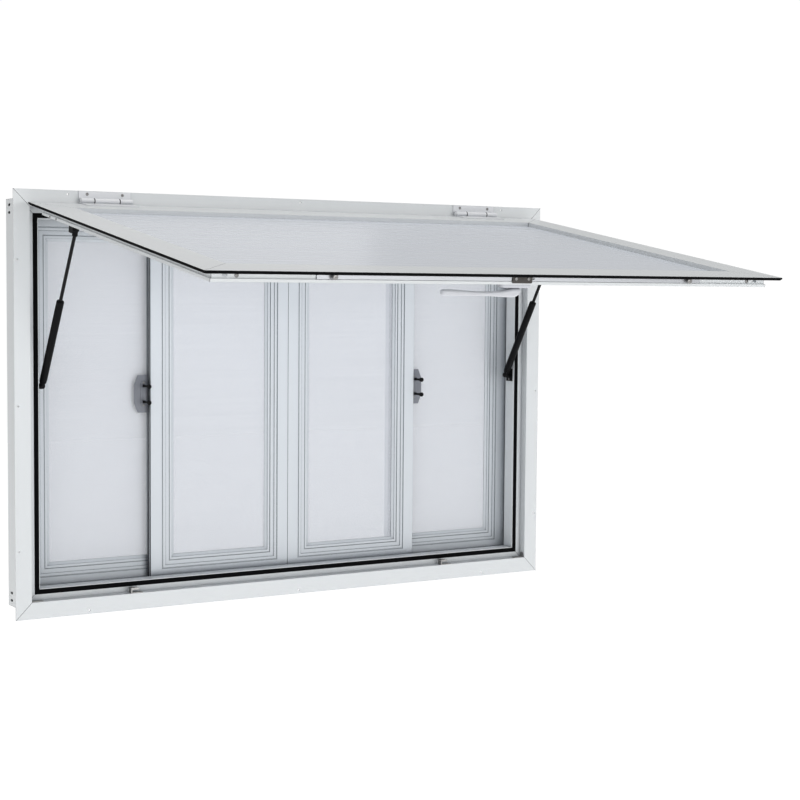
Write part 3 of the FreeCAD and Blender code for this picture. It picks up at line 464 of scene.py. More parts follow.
def moulded(name, colour, rough, grain_scale=1600.0, gloss=0.4, dust=0.2):
    """Moulded plastic or rubber, with a fine spark-eroded grain and grey dust."""
    material, tree, shader = finish_tree(name, gloss=gloss)
    grain = use_group(tree, powder_grain, Colour=(*colour, 1), Mottle=0.5, Grain_Scale=grain_scale)
    edges = use_group(tree, worn_edges, Radius=0.0004, Wear=0.2)
    dusty = use_group(tree, settled_dust, Amount=dust)["Mask"]
    shown = mixed_colour(tree, edges["Mask"], grain["Colour"], tinted(colour, 1.5, 0.005))
    shown = mixed_colour(tree, dusty, shown, DUST)
    cover(tree, shader, shown, scaled(tree, grain["Height"], 0.2, rough - 0.1), grain["Height"], 0.25,
          distance=0.0001, normal=edges["Normal"])
    return material


print("coated, bare and moulded finishes ready")

# %% Mitres of frame and awning
MITRE_GAP = 0.6 * MM


def frame_mitre(tree):
    """Where the hairline gaps run across the frame's four corners."""
    high = Vector(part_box("frame_head")[1])
    return use_group(tree, mitre_lines, Place=place_on(tree), Half_Width=high.x, Half_Height=high.z,
                     Gap=MITRE_GAP)["Mask"]


def awning_mitre(tree):
    """The same, on the awning turned back to shut."""
    turned = add_node(tree, "ShaderNodeVectorRotate",
                      {"Vector": place_on(tree), "Center": pivot, "Angle": open_angle},
                      rotation_type="X_AXIS").outputs[0]
    top, bottom = shut_box("awning_rail_hinge")[1], shut_box("awning_rail_front")[0]
    return use_group(tree, mitre_lines, Place=turned, Half_Width=top.x, Half_Height=(top.z - bottom.z) / 2,
                     Middle=(top.z + bottom.z) / 2, Gap=MITRE_GAP)["Mask"]


print("mitre gap", MITRE_GAP, "m")

# %% The window's finishes
FRAME_WHITE = (0.74, 0.76, 0.77)
AWNING_WHITE = (0.76, 0.78, 0.79)
SASH_WHITE = (0.68, 0.71, 0.74)
# depth sets how strong the painted shade in grooves and corners is; the sashes carry the most.
finishes = {
    "frame_coating": coated("frame_coating_level", FRAME_WHITE, 0.38, mitre=frame_mitre),
    "awning_coating": coated("awning_coating_level", AWNING_WHITE, 0.34, depth=0.12, mitre=awning_mitre),
    "sash_coating": coated("sash_coating", SASH_WHITE, 0.36, upright=1.0, wear=0.5, depth=1.0),
    "hinge_metal": coated("hinge_coating", (0.80, 0.81, 0.83), 0.3, lines=0.0, depth=0.15),
    "handle_white": coated("handle_coating", (0.62, 0.63, 0.66), 0.28, lines=0.0),
    "track_metal": bare_metal("track_metal", (0.50, 0.51, 0.53), 0.42),
    "key_metal": bare_metal("key_metal", (0.56, 0.57, 0.59), 0.5),
    "zinc_steel": bare_metal("zinc_steel", (0.36, 0.355, 0.35), 0.4, blotch=0.5),
    "plate_steel": bare_metal("plate_steel", (0.11, 0.105, 0.10), 0.5, blotch=0.5),
    "black_nylon": moulded("black_nylon", (0.008, 0.008, 0.009), 0.42, gloss=0.25, dust=0.02),
    "white_nylon": moulded("white_nylon", (0.75, 0.75, 0.72), 0.5, dust=0.1),
    "seal_rubber": moulded("seal_rubber", (0.004, 0.004, 0.005), 0.7, grain_scale=900.0, gloss=0.1,
                           dust=0.01),
    "strut_black": moulded("strut_paint", (0.004, 0.004, 0.005), 0.4, grain_scale=700.0, gloss=0.2, dust=0.0),
    "latch_grey": moulded("latch_grey", (0.27, 0.28, 0.31), 0.34, dust=0.02),
}
upright_finishes = {
    "frame_coating": coated("frame_coating_upright", FRAME_WHITE, 0.38, upright=1.0, mitre=frame_mitre),
    "awning_coating": coated("awning_coating_side", AWNING_WHITE, 0.34, upright=1.0, depth=0.12,
                             mitre=awning_mitre),
}
print("finishes", len(finishes) + len(upright_finishes))

# %% [markdown]
# ## Awning panel
# The infill is a smooth pale sheet. Rolled sheet is never perfectly even: it shows long faint streaks
# across its width and a slow change of tone, and it mirrors its surroundings softly. The streaks are a
# noise stretched a hundredfold along X.

# %% Panel finish
def panel_finish():
    material, tree, shader = finish_tree("panel_sheet")
    stretch = add_node(tree, "ShaderNodeMapping", {"Vector": place_on(tree), "Scale": (0.12, 14.0, 14.0)})
    wide = noise(tree, stretch.outputs[0], 3.0)
    grain = use_group(tree, powder_grain, Colour=(0.72, 0.75, 0.80, 1), Mottle=0.015, Grain_Scale=500.0)
    shown = mixed_colour(tree, times(tree, wide, 0.05), grain["Colour"], (0.54, 0.58, 0.63, 1))
    dusty = use_group(tree, settled_dust, Amount=0.04)["Mask"]
    shown = mixed_colour(tree, dusty, shown, DUST)
    cover(tree, shader, shown, scaled(tree, wide, 0.06, 0.24), wide, 0.003, distance=0.0001)
    return material


finishes["panel_sheet"] = panel_finish()
print("panel finish ready")

# %% [markdown]
# ## Insect screen
# The screens are woven from coated glass-fibre yarn, about 16 holes to the inch. Modelling each yarn
# would take a million faces, so one thin sheet carries the weave in its material: the yarns are opaque,
# the holes let light through, and each yarn is bumped to a round section. Two wave patterns make the
# warp and the weft. The weft is a little thicker, which is why a screen looks finely ruled from afar.

# %% Weave
WEFT_THICKER = 1.25

weave, given, result = new_group(
    "screen_weave",
    [("Pitch", "Float", 0.0016), ("Yarn", "Float", 0.3)],
    [("Cover", "Float"), ("Height", "Float"), ("Tone", "Float")])
parts = add_node(weave, "ShaderNodeSeparateXYZ", {0: place_on(weave)}).outputs


def yarn_profile(coordinate, thickness):
    """1 on a yarn's middle line, 0 at its edges and in the holes."""
    turn = arithmetic(weave, "FRACT", arithmetic(weave, "DIVIDE", coordinate, given["Pitch"]))
    nearest = arithmetic(weave, "ABSOLUTE", minus(weave, turn, 0.5))
    return minus(weave, 1.0, arithmetic(weave, "DIVIDE", nearest, thickness), clamp=True)


weft_size = times(weave, given["Yarn"], WEFT_THICKER)
height = arithmetic(weave, "MAXIMUM", yarn_profile(parts[0], given["Yarn"]), yarn_profile(parts[2], weft_size))
ruled = add_node(weave, "ShaderNodeCombineXYZ",
                 {0: times(weave, parts[0], 2.0), 2: times(weave, parts[2], 170.0)}).outputs[0]
put_out(weave, result, Cover=arithmetic(weave, "GREATER_THAN", height, 0.04), Height=height,
        Tone=noise(weave, ruled, 1.0, 3.0))

# %% Screen finish
def screen_finish():
    material, tree, shader = finish_tree("screen_mesh", gloss=0.25)
    cloth = use_group(tree, weave, Pitch=0.0016, Yarn=0.27)
    shown = mixed_colour(tree, cloth["Tone"], (0.64, 0.66, 0.70, 1), (0.71, 0.73, 0.77, 1))
    tree.links.new(cloth["Cover"], shader.inputs["Alpha"])
    cover(tree, shader, shown, 0.6, cloth["Height"], 0.3)
    return material


finishes["screen_mesh"] = screen_finish()
finishes["strut_rod_metal"] = moulded("rod_nitrided", (0.006, 0.006, 0.007), 0.3, grain_scale=2400.0,
                                      gloss=0.3, dust=0.0)
print("finishes", sorted(finishes))

# %% [markdown]
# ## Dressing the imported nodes
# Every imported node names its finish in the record, so a loop is enough. Die lines run along an
# extrusion, so an upright rail needs the version whose streaks run the other way.

# %% Dress the nodes
UPRIGHT_NODES = ("frame_jamb_left", "frame_jamb_right", "awning_rail_left", "awning_rail_right")
slot_of = {row["node"]: row["material_slot"] for row in frame["record"]["subparts"]}
for name, node in nodes.items():
    slot = slot_of[name]
    choice = upright_finishes.get(slot) if name in UPRIGHT_NODES else None
    node.data.materials.clear()
    node.data.materials.append(choice or finishes[slot])
print("dressed", len(nodes), "nodes")

# %% [markdown]
# ## Mesh helpers
# Pieces built here come from three moves: turning a profile about an axis, sweeping a profile round a
# rectangle with mitred corners, and lofting through a row of sections. Sharp creases are marked by their
# angle so that round parts shade smoothly, and a small bevel gives moulded parts soft edges.

# %% Pieces from meshes
CREASE = math.radians(38)


def mesh_data(name, mesh):
    """Turns a bmesh into mesh data and frees it."""
    data = bpy.data.meshes.new(name)
    mesh.to_mesh(data)
    mesh.free()
    return data


def finish_piece(name, mesh, body, slot, replaces=(), bevel=0.0, subdivide=0, awning=False, finish=None):
    """Turns a bmesh into a piece that rides on a body.  Awning pieces are given shut and swung open."""
    bmesh.ops.recalc_face_normals(mesh, faces=mesh.faces)
    for face in mesh.faces:
        face.smooth = True
    for edge in mesh.edges:
        if len(edge.link_faces) == 2 and edge.calc_face_angle(0.0) > CREASE:
            edge.smooth = False
    data = mesh_data(name, mesh)
    if awning:
        data.transform(SWING_OPEN)
    piece = new_object(name, data)
    data.materials.append(finishes[finish or slot])
    if bevel:
        rounding = piece.modifiers.new("soft_edges", "BEVEL")
        rounding.width, rounding.segments, rounding.limit_method = bevel, 2, "ANGLE"
        rounding.angle_limit = CREASE
    if subdivide:
        smoothing = piece.modifiers.new("smooth", "SUBSURF")
        smoothing.levels = smoothing.render_levels = subdivide
    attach(piece, body)
    if replaces:
        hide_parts(*replaces)
    return piece


print("creases above", round(math.degrees(CREASE)), "degrees stay sharp")

# %% Turned and lofted shapes
RIGHT, UP = Vector((1, 0, 0)), Vector((0, 0, 1))
TO_FRONT, DOWN = Vector((0, -1, 0)), Vector((0, 0, -1))


def in_mm(profile):
    """A profile drawn in millimetres, in metres."""
    return [(distance * MM, radius * MM) for distance, radius in profile]


def round_points(count, squareness=2.0):
    """Points round a circle of radius 1, pushed out towards a square as squareness grows past 2."""
    turns = (2 * math.pi * (k + 0.5) / count for k in range(count))
    return [tuple(math.copysign(abs(v) ** (2 / squareness), v) for v in (math.cos(t), math.sin(t)))
            for t in turns]


def frame_of(direction):
    """Two unit vectors square to a direction."""
    direction = direction.normalized()
    side = direction.orthogonal().normalized()
    return side, direction.cross(side)


def add_turned(mesh, start, direction, profile, steps=32):
    """Turns (distance, radius) points about the axis through start.  A radius of 0 closes the end."""
    direction = direction.normalized()
    side, up = frame_of(direction)
    rings = []
    for distance, radius in profile:
        middle = start + direction * distance
        if radius <= 0:
            rings.append([mesh.verts.new(middle)])
            continue
        angles = (2 * math.pi * k / steps for k in range(steps))
        rings.append([mesh.verts.new(middle + (side * math.cos(a) + up * math.sin(a)) * radius)
                      for a in angles])
    for low, high in zip(rings, rings[1:]):
        for k in range(steps):
            j = (k + 1) % steps
            corners = [low[k % len(low)], low[j % len(low)], high[j % len(high)], high[k % len(high)]]
            corners = list(dict.fromkeys(corners))
            if len(corners) > 2:
                mesh.faces.new(corners)
    for ring in (rings[0], rings[-1]):
        if len(ring) > 1:
            mesh.faces.new(ring)


def loft_sections(mesh, sections):
    """Joins equal rings of points into a closed tube."""
    rings = [[mesh.verts.new(point) for point in section] for section in sections]
    count = len(rings[0])
    for low, high in zip(rings, rings[1:]):
        for k in range(count):
            j = (k + 1) % count
            mesh.faces.new((low[k], low[j], high[j], high[k]))
    mesh.faces.new(rings[0])
    mesh.faces.new(rings[-1])


print("a circle in 8 points", [tuple(round(v, 2) for v in point) for point in round_points(8)])

# %% Blocks and mitred sweeps
SQUARE = ((-1, -1), (1, -1), (1, 1), (-1, 1))


def add_box(mesh, low, high):
    """A six-faced block between two corners."""
    for vertex in bmesh.ops.create_cube(mesh, size=1.0)["verts"]:
        vertex.co = Vector(low[i] if vertex.co[i] < 0 else high[i] for i in range(3))


def add_frame_sweep(mesh, profile, half_w, half_h, middle=(0.0, 0.0)):
    """Sweeps a closed (inset, depth) profile round a rectangle, mitred at its corners."""
    loops = [[mesh.verts.new((middle[0] + sx * (half_w - inset), depth, middle[1] + sz * (half_h - inset)))
              for inset, depth in profile] for sx, sz in SQUARE]
    count = len(profile)
    for k in range(4):
        here, beyond = loops[k], loops[(k + 1) % 4]
        for i in range(count):
            j = (i + 1) % count
            mesh.faces.new((here[i], here[j], beyond[j], beyond[i]))


def bulb_profile(low, high, base, top, lips=8):
    """A seal's section: a flat foot with a round bulb standing on it."""
    middle, half = (low + high) / 2, (high - low) / 2
    rise = top - base
    points = [(low, base), (high, base), (high, base + rise * 0.25)]
    for k in range(lips + 1):
        turn = math.pi * k / lips
        points.append((middle + 0.82 * half * math.cos(turn), base + rise * (0.3 + 0.7 * math.sin(turn))))
    return points + [(low, base + rise * 0.25)]


print("a seal's section has", len(bulb_profile(0.0, 1.0, 0.0, 1.0)), "points")

# %% [markdown]
# ## Rubber seals
# Two black bulb seals close the awning: one lies on the frame's ledge, the other sits under the awning's
# lip, with a thin skirt that wraps the lip's edge. An extruded seal is a foot with a hollow bulb on it,
# pressed into a groove and mitred at the corners. A swept section gives the bulb its rounded top, which a
# plain strip lacks.

# %% Seals
GASKET_WIDTH = 11 * MM
SEAL_WIDTH = 7 * MM
SKIRT_INSIDE = -1.3 * MM
SKIRT_OUTSIDE = -1.9 * MM
SKIRT_PROUD = 0.4 * MM

low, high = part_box("frame_gasket")
gasket = bmesh.new()
add_frame_sweep(gasket, bulb_profile(0.0, GASKET_WIDTH, high.y, low.y), high.x, high.z)
finish_piece("frame_bulb_seal", gasket, "frame", "seal_rubber", ["frame_gasket"])
print("frame seal", round(2 * high.x, 3), "m wide")

low, high = shut_box("awning_seal")
front = shut_box("awning_rail_front")[0].y + SKIRT_PROUD
back = low.y + 2 * MM
seal = bmesh.new()
add_frame_sweep(seal, bulb_profile(SKIRT_INSIDE, SEAL_WIDTH, low.y, high.y), high.x, high.z)
skirt = [(SKIRT_OUTSIDE, front), (SKIRT_INSIDE, front), (SKIRT_INSIDE, back), (SKIRT_OUTSIDE, back)]
add_frame_sweep(seal, skirt, high.x, high.z)
finish_piece("awning_bulb_seal", seal, "awning", "seal_rubber", ["awning_seal"], awning=True)
print("awning seal", round(2 * high.x, 3), "m wide")

# %% [markdown]
# ## Gas struts
# A gas strut is a painted steel tube, rolled in at its mouth round a guide, with a thin hard-coated rod
# that slides out of it. Moulded sockets snap over ball studs at both ends. Turned profiles give the
# rolled mouth and the tapered sockets, and they are what the eye uses to tell a strut from a plain bar.
# The cylinder's axis comes from its tilt joint and the rod's from its stroke joint.

# %% Tubes and rods
TUBE_RADIUS = 9 * MM
ROD_RADIUS = 4 * MM
SOCKET_RADIUS = 7 * MM
MOUTH_ROLL = 4 * MM
PISTON_RADIUS = 7.4 * MM
STUD_RADIUS = 3.2 * MM


def along(node, foot, up):
    """How far each corner of a node lies from the foot of a strut, measured up the strut."""
    return [(vertex.co - foot).dot(up) for vertex in nodes[node].data.vertices]


def strut_axis(side):
    """Lower pivot, unit vector up the strut, and its length between the two ball studs."""
    foot = Vector(joints["strut_tilt_" + side]["pos_m"])
    up = Vector(joints["strut_stroke_" + side]["axis"]).normalized()
    return foot, up, max(along("strut_socket_upper_" + side, foot, up)) - SOCKET_RADIUS


def strut_tube(side):
    """A closed foot, a plain tube with one pressed groove, and a mouth rolled in round the rod."""
    foot, up, length = strut_axis(side)
    mouth = max(along("strut_tube_" + side, foot, up))
    r = TUBE_RADIUS
    profile = [(15 * MM, 0), (15 * MM, r * 0.75), (16.5 * MM, r * 0.95), (19 * MM, r)]
    profile += [(mouth - 14 * MM, r), (mouth - 12.5 * MM, r * 0.94), (mouth - 11 * MM, r)]
    for turn in (math.pi / 2 * k / 4 for k in range(5)):
        profile.append((mouth - MOUTH_ROLL + MOUTH_ROLL * math.sin(turn), r - 3.4 * MM * (1 - math.cos(turn))))
    profile += [(mouth - 0.6 * MM, ROD_RADIUS + 0.3 * MM), (mouth - 3 * MM, ROD_RADIUS + 0.2 * MM),
                (mouth - 3 * MM, 0)]
    tube = bmesh.new()
    add_turned(tube, foot, up, profile, 40)
    finish_piece("gas_strut_tube_" + side, tube, "strut_cylinder_" + side, "strut_black",
                 ["strut_tube_" + side])


def strut_rod(side):
    """The piston inside the tube, the rod, and its thinner threaded end."""
    foot, up, length = strut_axis(side)
    low = min(along("strut_rod_" + side, foot, up))
    profile = [(low, 0), (low, PISTON_RADIUS - 0.8 * MM), (low + 0.8 * MM, PISTON_RADIUS),
               (low + 7 * MM, PISTON_RADIUS), (low + 8 * MM, ROD_RADIUS), (length - 18 * MM, ROD_RADIUS),
               (length - 17 * MM, STUD_RADIUS), (length - 7 * MM, STUD_RADIUS), (length - 7 * MM, 0)]
    rod = bmesh.new()
    add_turned(rod, foot, up, profile, 28)
    finish_piece("gas_strut_rod_" + side, rod, "strut_piston_" + side, "strut_rod_metal",
                 ["strut_rod_" + side])


for side in ("left", "right"):
    strut_tube(side)
    strut_rod(side)
print("gas struts", round(strut_axis("left")[2], 4), "m between ball studs")

# %% Sockets and ball studs
CUP = [(6.4, 3.9), (6.9, 5.0), (6.6, 6.4), (5.2, 7.0), (-2.5, 7.0), (-4.8, 6.4), (-6.2, 4.6), (-6.8, 2.2),
       (-7.0, 0)]
CLIP = [(2.4, 6.9), (2.4, 7.35), (1.2, 7.35), (1.2, 6.9)]
BALL_STUD = [(5.0, 0), (5.0, 3.0), (8.8, 3.0), (8.8, 4.2), (9.9, 4.2), (9.9, 0)]
NECKS = {"lower": (15.4, 8.6), "upper": (17.5, 6.6)}


def strut_socket(side, level, body):
    """A moulded cup over the ball, with a ribbed neck towards the strut and a spring clip round the cup."""
    foot, up, length = strut_axis(side)
    outward = -RIGHT if side == "left" else RIGHT
    centre, neck = (foot, up) if level == "lower" else (foot + up * length, -up)
    socket = bmesh.new()
    bottom = CUP[0][0] - 3
    add_turned(socket, centre, outward, in_mm([(bottom, 0), (bottom, 3.4)] + CUP), 32)
    collar, width = NECKS[level]
    profile = [(2.0, 0), (2.0, 5.4), (6.5, 6.2), (9.0, width - 1.2), (11.0, width - 0.6), (collar - 1, width),
               (collar, width - 0.8), (collar, 0)]
    add_turned(socket, centre, neck, in_mm(profile), 32)
    add_turned(socket, centre, outward, in_mm(CLIP), 32)
    if level == "upper":
        add_turned(socket, centre, outward, in_mm(BALL_STUD), 24)
    finish_piece(f"gas_strut_socket_{level}_{side}", socket, body + side, "strut_black",
                 [f"strut_socket_{level}_{side}"])


for side in ("left", "right"):
    strut_socket(side, "lower", "strut_cylinder_")
    strut_socket(side, "upper", "strut_piston_")
print("sockets", 2 * len(NECKS))

# %% [markdown]
# ## Lever handle
# The lever is a die casting: a deep hub that narrows to a slim neck and swells again into a flat,
# rounded grip. Real castings have no straight lines in side view, so the shape is a row of soft
# rectangles, each a little different, joined and smoothed by subdivision. The base is a slim rounded
# cover with two screws.

# %% Lever
base_low, base_high = shut_box("handle_base")
axis_x = (base_low.x + base_high.x) / 2
axis_z = (base_low.z + base_high.z) / 2
base_top = base_high.y

# Distance from the axis, then near face, far face and half width, in mm above the base.
LEVER_STATIONS = [(12.6, 2.2, 5.0, 4.0), (12.4, 1.0, 7.0, 8.0), (10.8, 0.8, 13.0, 10.4),
                  (7.5, 0.7, 18.5, 10.8), (0.0, 0.7, 21.0, 10.9), (-10.0, 1.6, 21.2, 10.4),
                  (-22.0, 4.6, 21.0, 9.4), (-38.0, 7.6, 20.4, 8.2), (-60.0, 9.0, 19.2, 7.4),
                  (-86.0, 9.2, 18.4, 7.2), (-112.0, 8.0, 18.2, 7.6), (-138.0, 6.2, 18.4, 8.4),
                  (-160.0, 5.0, 18.8, 8.9), (-174.0, 4.8, 18.8, 8.8), (-180.6, 6.0, 17.8, 7.4),
                  (-182.8, 8.4, 15.4, 4.4)]


def soft_rectangle(x, low, high, half_wide):
    """A rounded section across the lever at x, from depth low to depth high."""
    middle, half = (low + high) / 2, (high - low) / 2
    return [(x, middle + half * c, axis_z + half_wide * s) for c, s in round_points(16, 2.8)]


lever = bmesh.new()
loft_sections(lever, [soft_rectangle(axis_x + x * MM, base_top + near * MM, base_top + far * MM, wide * MM)
                      for x, near, far, wide in LEVER_STATIONS])
finish_piece("lever_handle", lever, "handle", "handle_white", ["handle_lever"], subdivide=2, awning=True)
lever_low, lever_high = shut_box("handle_lever")
print("lever", round((lever_high.x - lever_low.x) / MM), "mm long")

# %% Lever's base
half_x, half_z = (base_high.x - base_low.x) / 2, (base_high.z - base_low.z) / 2
sections = []
for depth, shrink in ((base_low.y, 0.0), (base_low.y + 6.5 * MM, 0.0), (base_top - 1.2 * MM, 0.6 * MM),
                      (base_top - 0.1 * MM, 2.2 * MM)):
    round_r = half_z - 1.5 * MM - shrink
    sections.append([(axis_x + math.copysign(half_x - shrink - round_r, c) + round_r * c, depth,
                      axis_z + math.copysign(half_z - shrink - round_r, s) + round_r * s)
                     for c, s in round_points(32)])
base = bmesh.new()
loft_sections(base, sections)
finish_piece("handle_rose", base, "awning", "handle_white", ["handle_base"], awning=True)
print("base", round(2 * half_x / MM), "by", round(2 * half_z / MM), "mm")

# %% [markdown]
# ## Screws and plugs
# Small pan-head screws hold the hinges, the strut brackets and the keeps. A screw is a domed head with a
# cross-shaped recess. The recess here is real geometry: a domed disc is turned, and four tapered slots
# are cut by a boolean, so the cross still reads in a close view.

# %% Screws
def cross_cutter(place, outward, radius, tall):
    """Two crossed slots, each narrowing towards its floor."""
    side, up = frame_of(outward)
    reach, half = radius * 0.62, radius * 0.13
    floor, top = place + outward * tall * 0.35, place + outward * tall * 1.2
    cutter = bmesh.new()
    for long, wide in ((side, up), (up, side)):
        loft_sections(cutter, [[level + long * a * reach * size + wide * b * half for a, b in SQUARE]
                               for level, size in ((floor, 0.5), (top, 1.0))])
    bmesh.ops.recalc_face_normals(cutter, faces=cutter.faces)
    return cutter


def pan_screw(name, place, outward, radius, tall, body, replaces=(), awning=False):
    """A domed zinc head with its flat face at place, pointing outward."""
    dome = [(0, 0), (0, radius * 0.94), (tall * 0.15, radius)]
    dome += [(tall * (0.35 + 0.65 * math.sin(t)), radius * (0.98 * math.cos(t)))
             for t in (math.pi / 2 * k / 6 for k in range(6))] + [(tall, 0)]
    head = bmesh.new()
    add_turned(head, place, outward, dome, 28)
    piece = finish_piece(name, head, body, "zinc_steel", replaces, awning=awning)
    if awning:
        place, outward = SWING_OPEN @ place, SWING_OPEN.to_3x3() @ outward
    tool = new_object("cross", mesh_data("cross", cross_cutter(place, outward, radius, tall)))
    recess = piece.modifiers.new("recess", "BOOLEAN")
    recess.operation, recess.solver, recess.use_self, recess.object = "DIFFERENCE", "EXACT", True, tool
    bpy.context.view_layer.update()
    cut = bpy.data.meshes.new_from_object(piece.evaluated_get(bpy.context.evaluated_depsgraph_get()))
    piece.modifiers.clear()
    piece.data = cut
    cut.materials.clear()
    cut.materials.append(finishes["zinc_steel"])
    bpy.data.objects.remove(tool)


for number, (low, high) in enumerate(islands("frame_screws"), 1):
    middle, size = (low + high) / 2, high - low
    axis = min(range(3), key=lambda i: size[i])
    outward = (RIGHT * -math.copysign(1, middle.x), TO_FRONT, UP)[axis]
    pan_screw(f"frame_screw_{number}", middle - outward * size[axis] / 2, outward, max(size) / 2, size[axis],
              "frame", ["frame_screws"])
print("frame screws", len(islands("frame_screws")))

# %% [markdown]
# ## Awning screws, plugs and lock
# The front rail's edge carries the lock. A lighter bar slides in a groove and carries two mushroom cams
# that hook behind keeps on the sill. Round plugs close the groove's ends, and a small steel plate with two
# screws and an index mark covers the gearbox. The cams are turned, with a crowned head and a small
# centre dimple, and the plate's corners are rounded.

# %% Plugs and side screws
for number, (low, high) in enumerate(islands("awning_screws", shut=True), 1):
    middle, size = (low + high) / 2, high - low
    if size.z < size.y and size.z < size.x:
        outward, radius, tall = DOWN, size.x / 2, size.z
    else:
        outward, radius, tall = RIGHT * math.copysign(1, middle.x), size.z / 2, size.x
    pan_screw(f"awning_screw_{number}", middle - outward * tall / 2, outward, radius, tall, "awning",
              ["awning_screws"], awning=True)
print("awning screws", len(islands("awning_screws")))

# %% Lock cams
for number, (low, high) in enumerate(islands("lock_cams", shut=True), 1):
    middle, tall = (low + high) / 2, (high.z - low.z) / MM
    profile = [(0, 0), (0, 3.6), (0.5, 4.0), (tall - 2.6, 4.0), (tall - 2.1, 5.6), (tall - 1.2, 6.0),
               (tall - 0.5, 5.7), (tall, 4.6), (tall - 0.1, 1.8), (tall - 0.9, 1.2), (tall - 0.9, 0)]
    cam = bmesh.new()
    add_turned(cam, Vector((middle.x, middle.y, high.z)), DOWN, in_mm(profile), 36)
    finish_piece(f"lock_cam_{number}", cam, "lock_slide", "zinc_steel", ["lock_cams"], awning=True)
print("lock cams", len(islands("lock_cams")))

# %% Lock plate
PLATE_THICK = 1.6 * MM
PLATE_CORNER = 2.2 * MM
PLATE_SCREW_OFFSET = 16 * MM
PLATE_SCREW_RADIUS = 3.7 * MM
SCREW_TALL = 1.4 * MM

plate_low, plate_high = shut_box("lock_faceplate")
plate_low.z += SCREW_TALL
plate_high.z = plate_low.z + PLATE_THICK
middle = (plate_low + plate_high) / 2
plate = bmesh.new()
add_box(plate, plate_low, plate_high)
upright = [e for e in plate.edges if abs((e.verts[0].co - e.verts[1].co).normalized().z) > 0.9]
bmesh.ops.bevel(plate, geom=upright, offset=PLATE_CORNER, segments=5, affect="EDGES", profile=0.5)
for offset in (-1.5, 1.5):
    add_box(plate, (middle.x + (offset - 0.5) * MM, middle.y - 1.8 * MM, plate_low.z - 0.35 * MM),
            (middle.x + (offset + 0.5) * MM, middle.y + 1.8 * MM, plate_low.z + 0.3 * MM))
finish_piece("lock_plate", plate, "awning", "zinc_steel", ["lock_faceplate"], bevel=0.3 * MM, awning=True,
             finish="plate_steel")
for number, offset in enumerate((-PLATE_SCREW_OFFSET, PLATE_SCREW_OFFSET), 1):
    pan_screw(f"lock_plate_screw_{number}", Vector((middle.x + offset, middle.y, plate_low.z)), DOWN,
              PLATE_SCREW_RADIUS, SCREW_TALL, "awning", awning=True)
print("lock plate", round((plate_high.x - plate_low.x) / MM), "mm wide")

# %% [markdown]
# ## Hinge washers and pins
# Each hinge has three knuckles on one pin, with black nylon washers between them. A washer that is only
# a disc looks cut from card, so these have rounded rims. The pin's ends are peened over into low domes.

# %% Hinge washers and pins
WASHER_RIM = 0.8 * MM
WASHER_BORE = 3.1 * MM

for number, (low, high) in enumerate(islands("hinge_washers"), 1):
    middle, radius = (low + high) / 2, (high.z - low.z) / 2 + 0.7 * MM
    wide = high.x - low.x + 2 * WASHER_RIM
    profile = [(0, WASHER_BORE), (0, radius - 0.5 * MM), (wide * 0.2, radius - 0.1 * MM),
               (wide * 0.5, radius + 0.3 * MM), (wide * 0.8, radius - 0.1 * MM), (wide, radius - 0.5 * MM),
               (wide, WASHER_BORE)]
    washer = bmesh.new()
    add_turned(washer, Vector((low.x - WASHER_RIM, middle.y, middle.z)), RIGHT, profile, 40)
    finish_piece(f"hinge_washer_{number}", washer, "frame", "black_nylon", ["hinge_washers"])

for number, (low, high) in enumerate(islands("hinge_pins"), 1):
    middle, wide = (low + high) / 2, (high.x - low.x) / MM
    dome = [(0, 0), (0.1, 2.4), (0.6, 4.2), (1.2, 4.9), (1.6, 5.0), (1.6, 3.0)]
    profile = in_mm(dome + [(wide - d, r) for d, r in reversed(dome)])
    pin = bmesh.new()
    add_turned(pin, Vector((low.x, middle.y, middle.z)), RIGHT, profile, 36)
    finish_piece(f"hinge_pin_{number}", pin, "frame", "hinge_metal", ["hinge_pins"])
print("washers", len(islands("hinge_washers")), "pins", len(islands("hinge_pins")))

# %% [markdown]
# ## Insect screens
# The cloth is rolled into a groove round the sash with a round rubber spline. Stretched cloth is never
# quite flat, so the sheet gets a slight belly and very shallow ripples, worked out from sines. That breaks
# up the reflection the way real cloth does. The spline is a swept round section.

# %% Insect screens
CLOTH_STEPS = (12, 30)
BELLY = 0.5 * MM
RIPPLE = 0.12 * MM
SCREENS = (1, 2, 3, 4)


def screen_cloth(number, low, high):
    """The stretched cloth between the splines, with its belly and ripples."""
    depth = (low.y + high.y) / 2
    across, tall = CLOTH_STEPS
    cloth = bmesh.new()
    rows = []
    for v in (j / tall for j in range(tall + 1)):
        row = []
        for u in (i / across for i in range(across + 1)):
            belly = math.sin(math.pi * u) * math.sin(math.pi * v)
            ripple = math.sin(9.0 * u + 2.1 * number) * math.sin(17.0 * v + number) * belly
            row.append(cloth.verts.new((low.x + u * (high.x - low.x), depth + BELLY * belly + RIPPLE * ripple,
                                        low.z + v * (high.z - low.z))))
        rows.append(row)
    for lower, upper in zip(rows, rows[1:]):
        for i in range(across):
            cloth.faces.new((lower[i], lower[i + 1], upper[i + 1], upper[i]))
    return finish_piece(f"insect_screen_{number}", cloth, f"screen_{number}", "screen_mesh",
                        [f"sash_{number}_screen"])


def screen_spline(number, low, high):
    """The round rubber cord that holds the cloth in its groove."""
    radius, middle = (high.y - low.y) / 2, (low + high) / 2
    section = [(radius - radius * math.cos(turn), middle.y + radius * math.sin(turn))
               for turn in (2 * math.pi * k / 12 for k in range(12))]
    spline = bmesh.new()
    add_frame_sweep(spline, section, (high.x - low.x) / 2, (high.z - low.z) / 2, (middle.x, middle.z))
    return finish_piece(f"screen_spline_{number}", spline, f"screen_{number}", "seal_rubber")


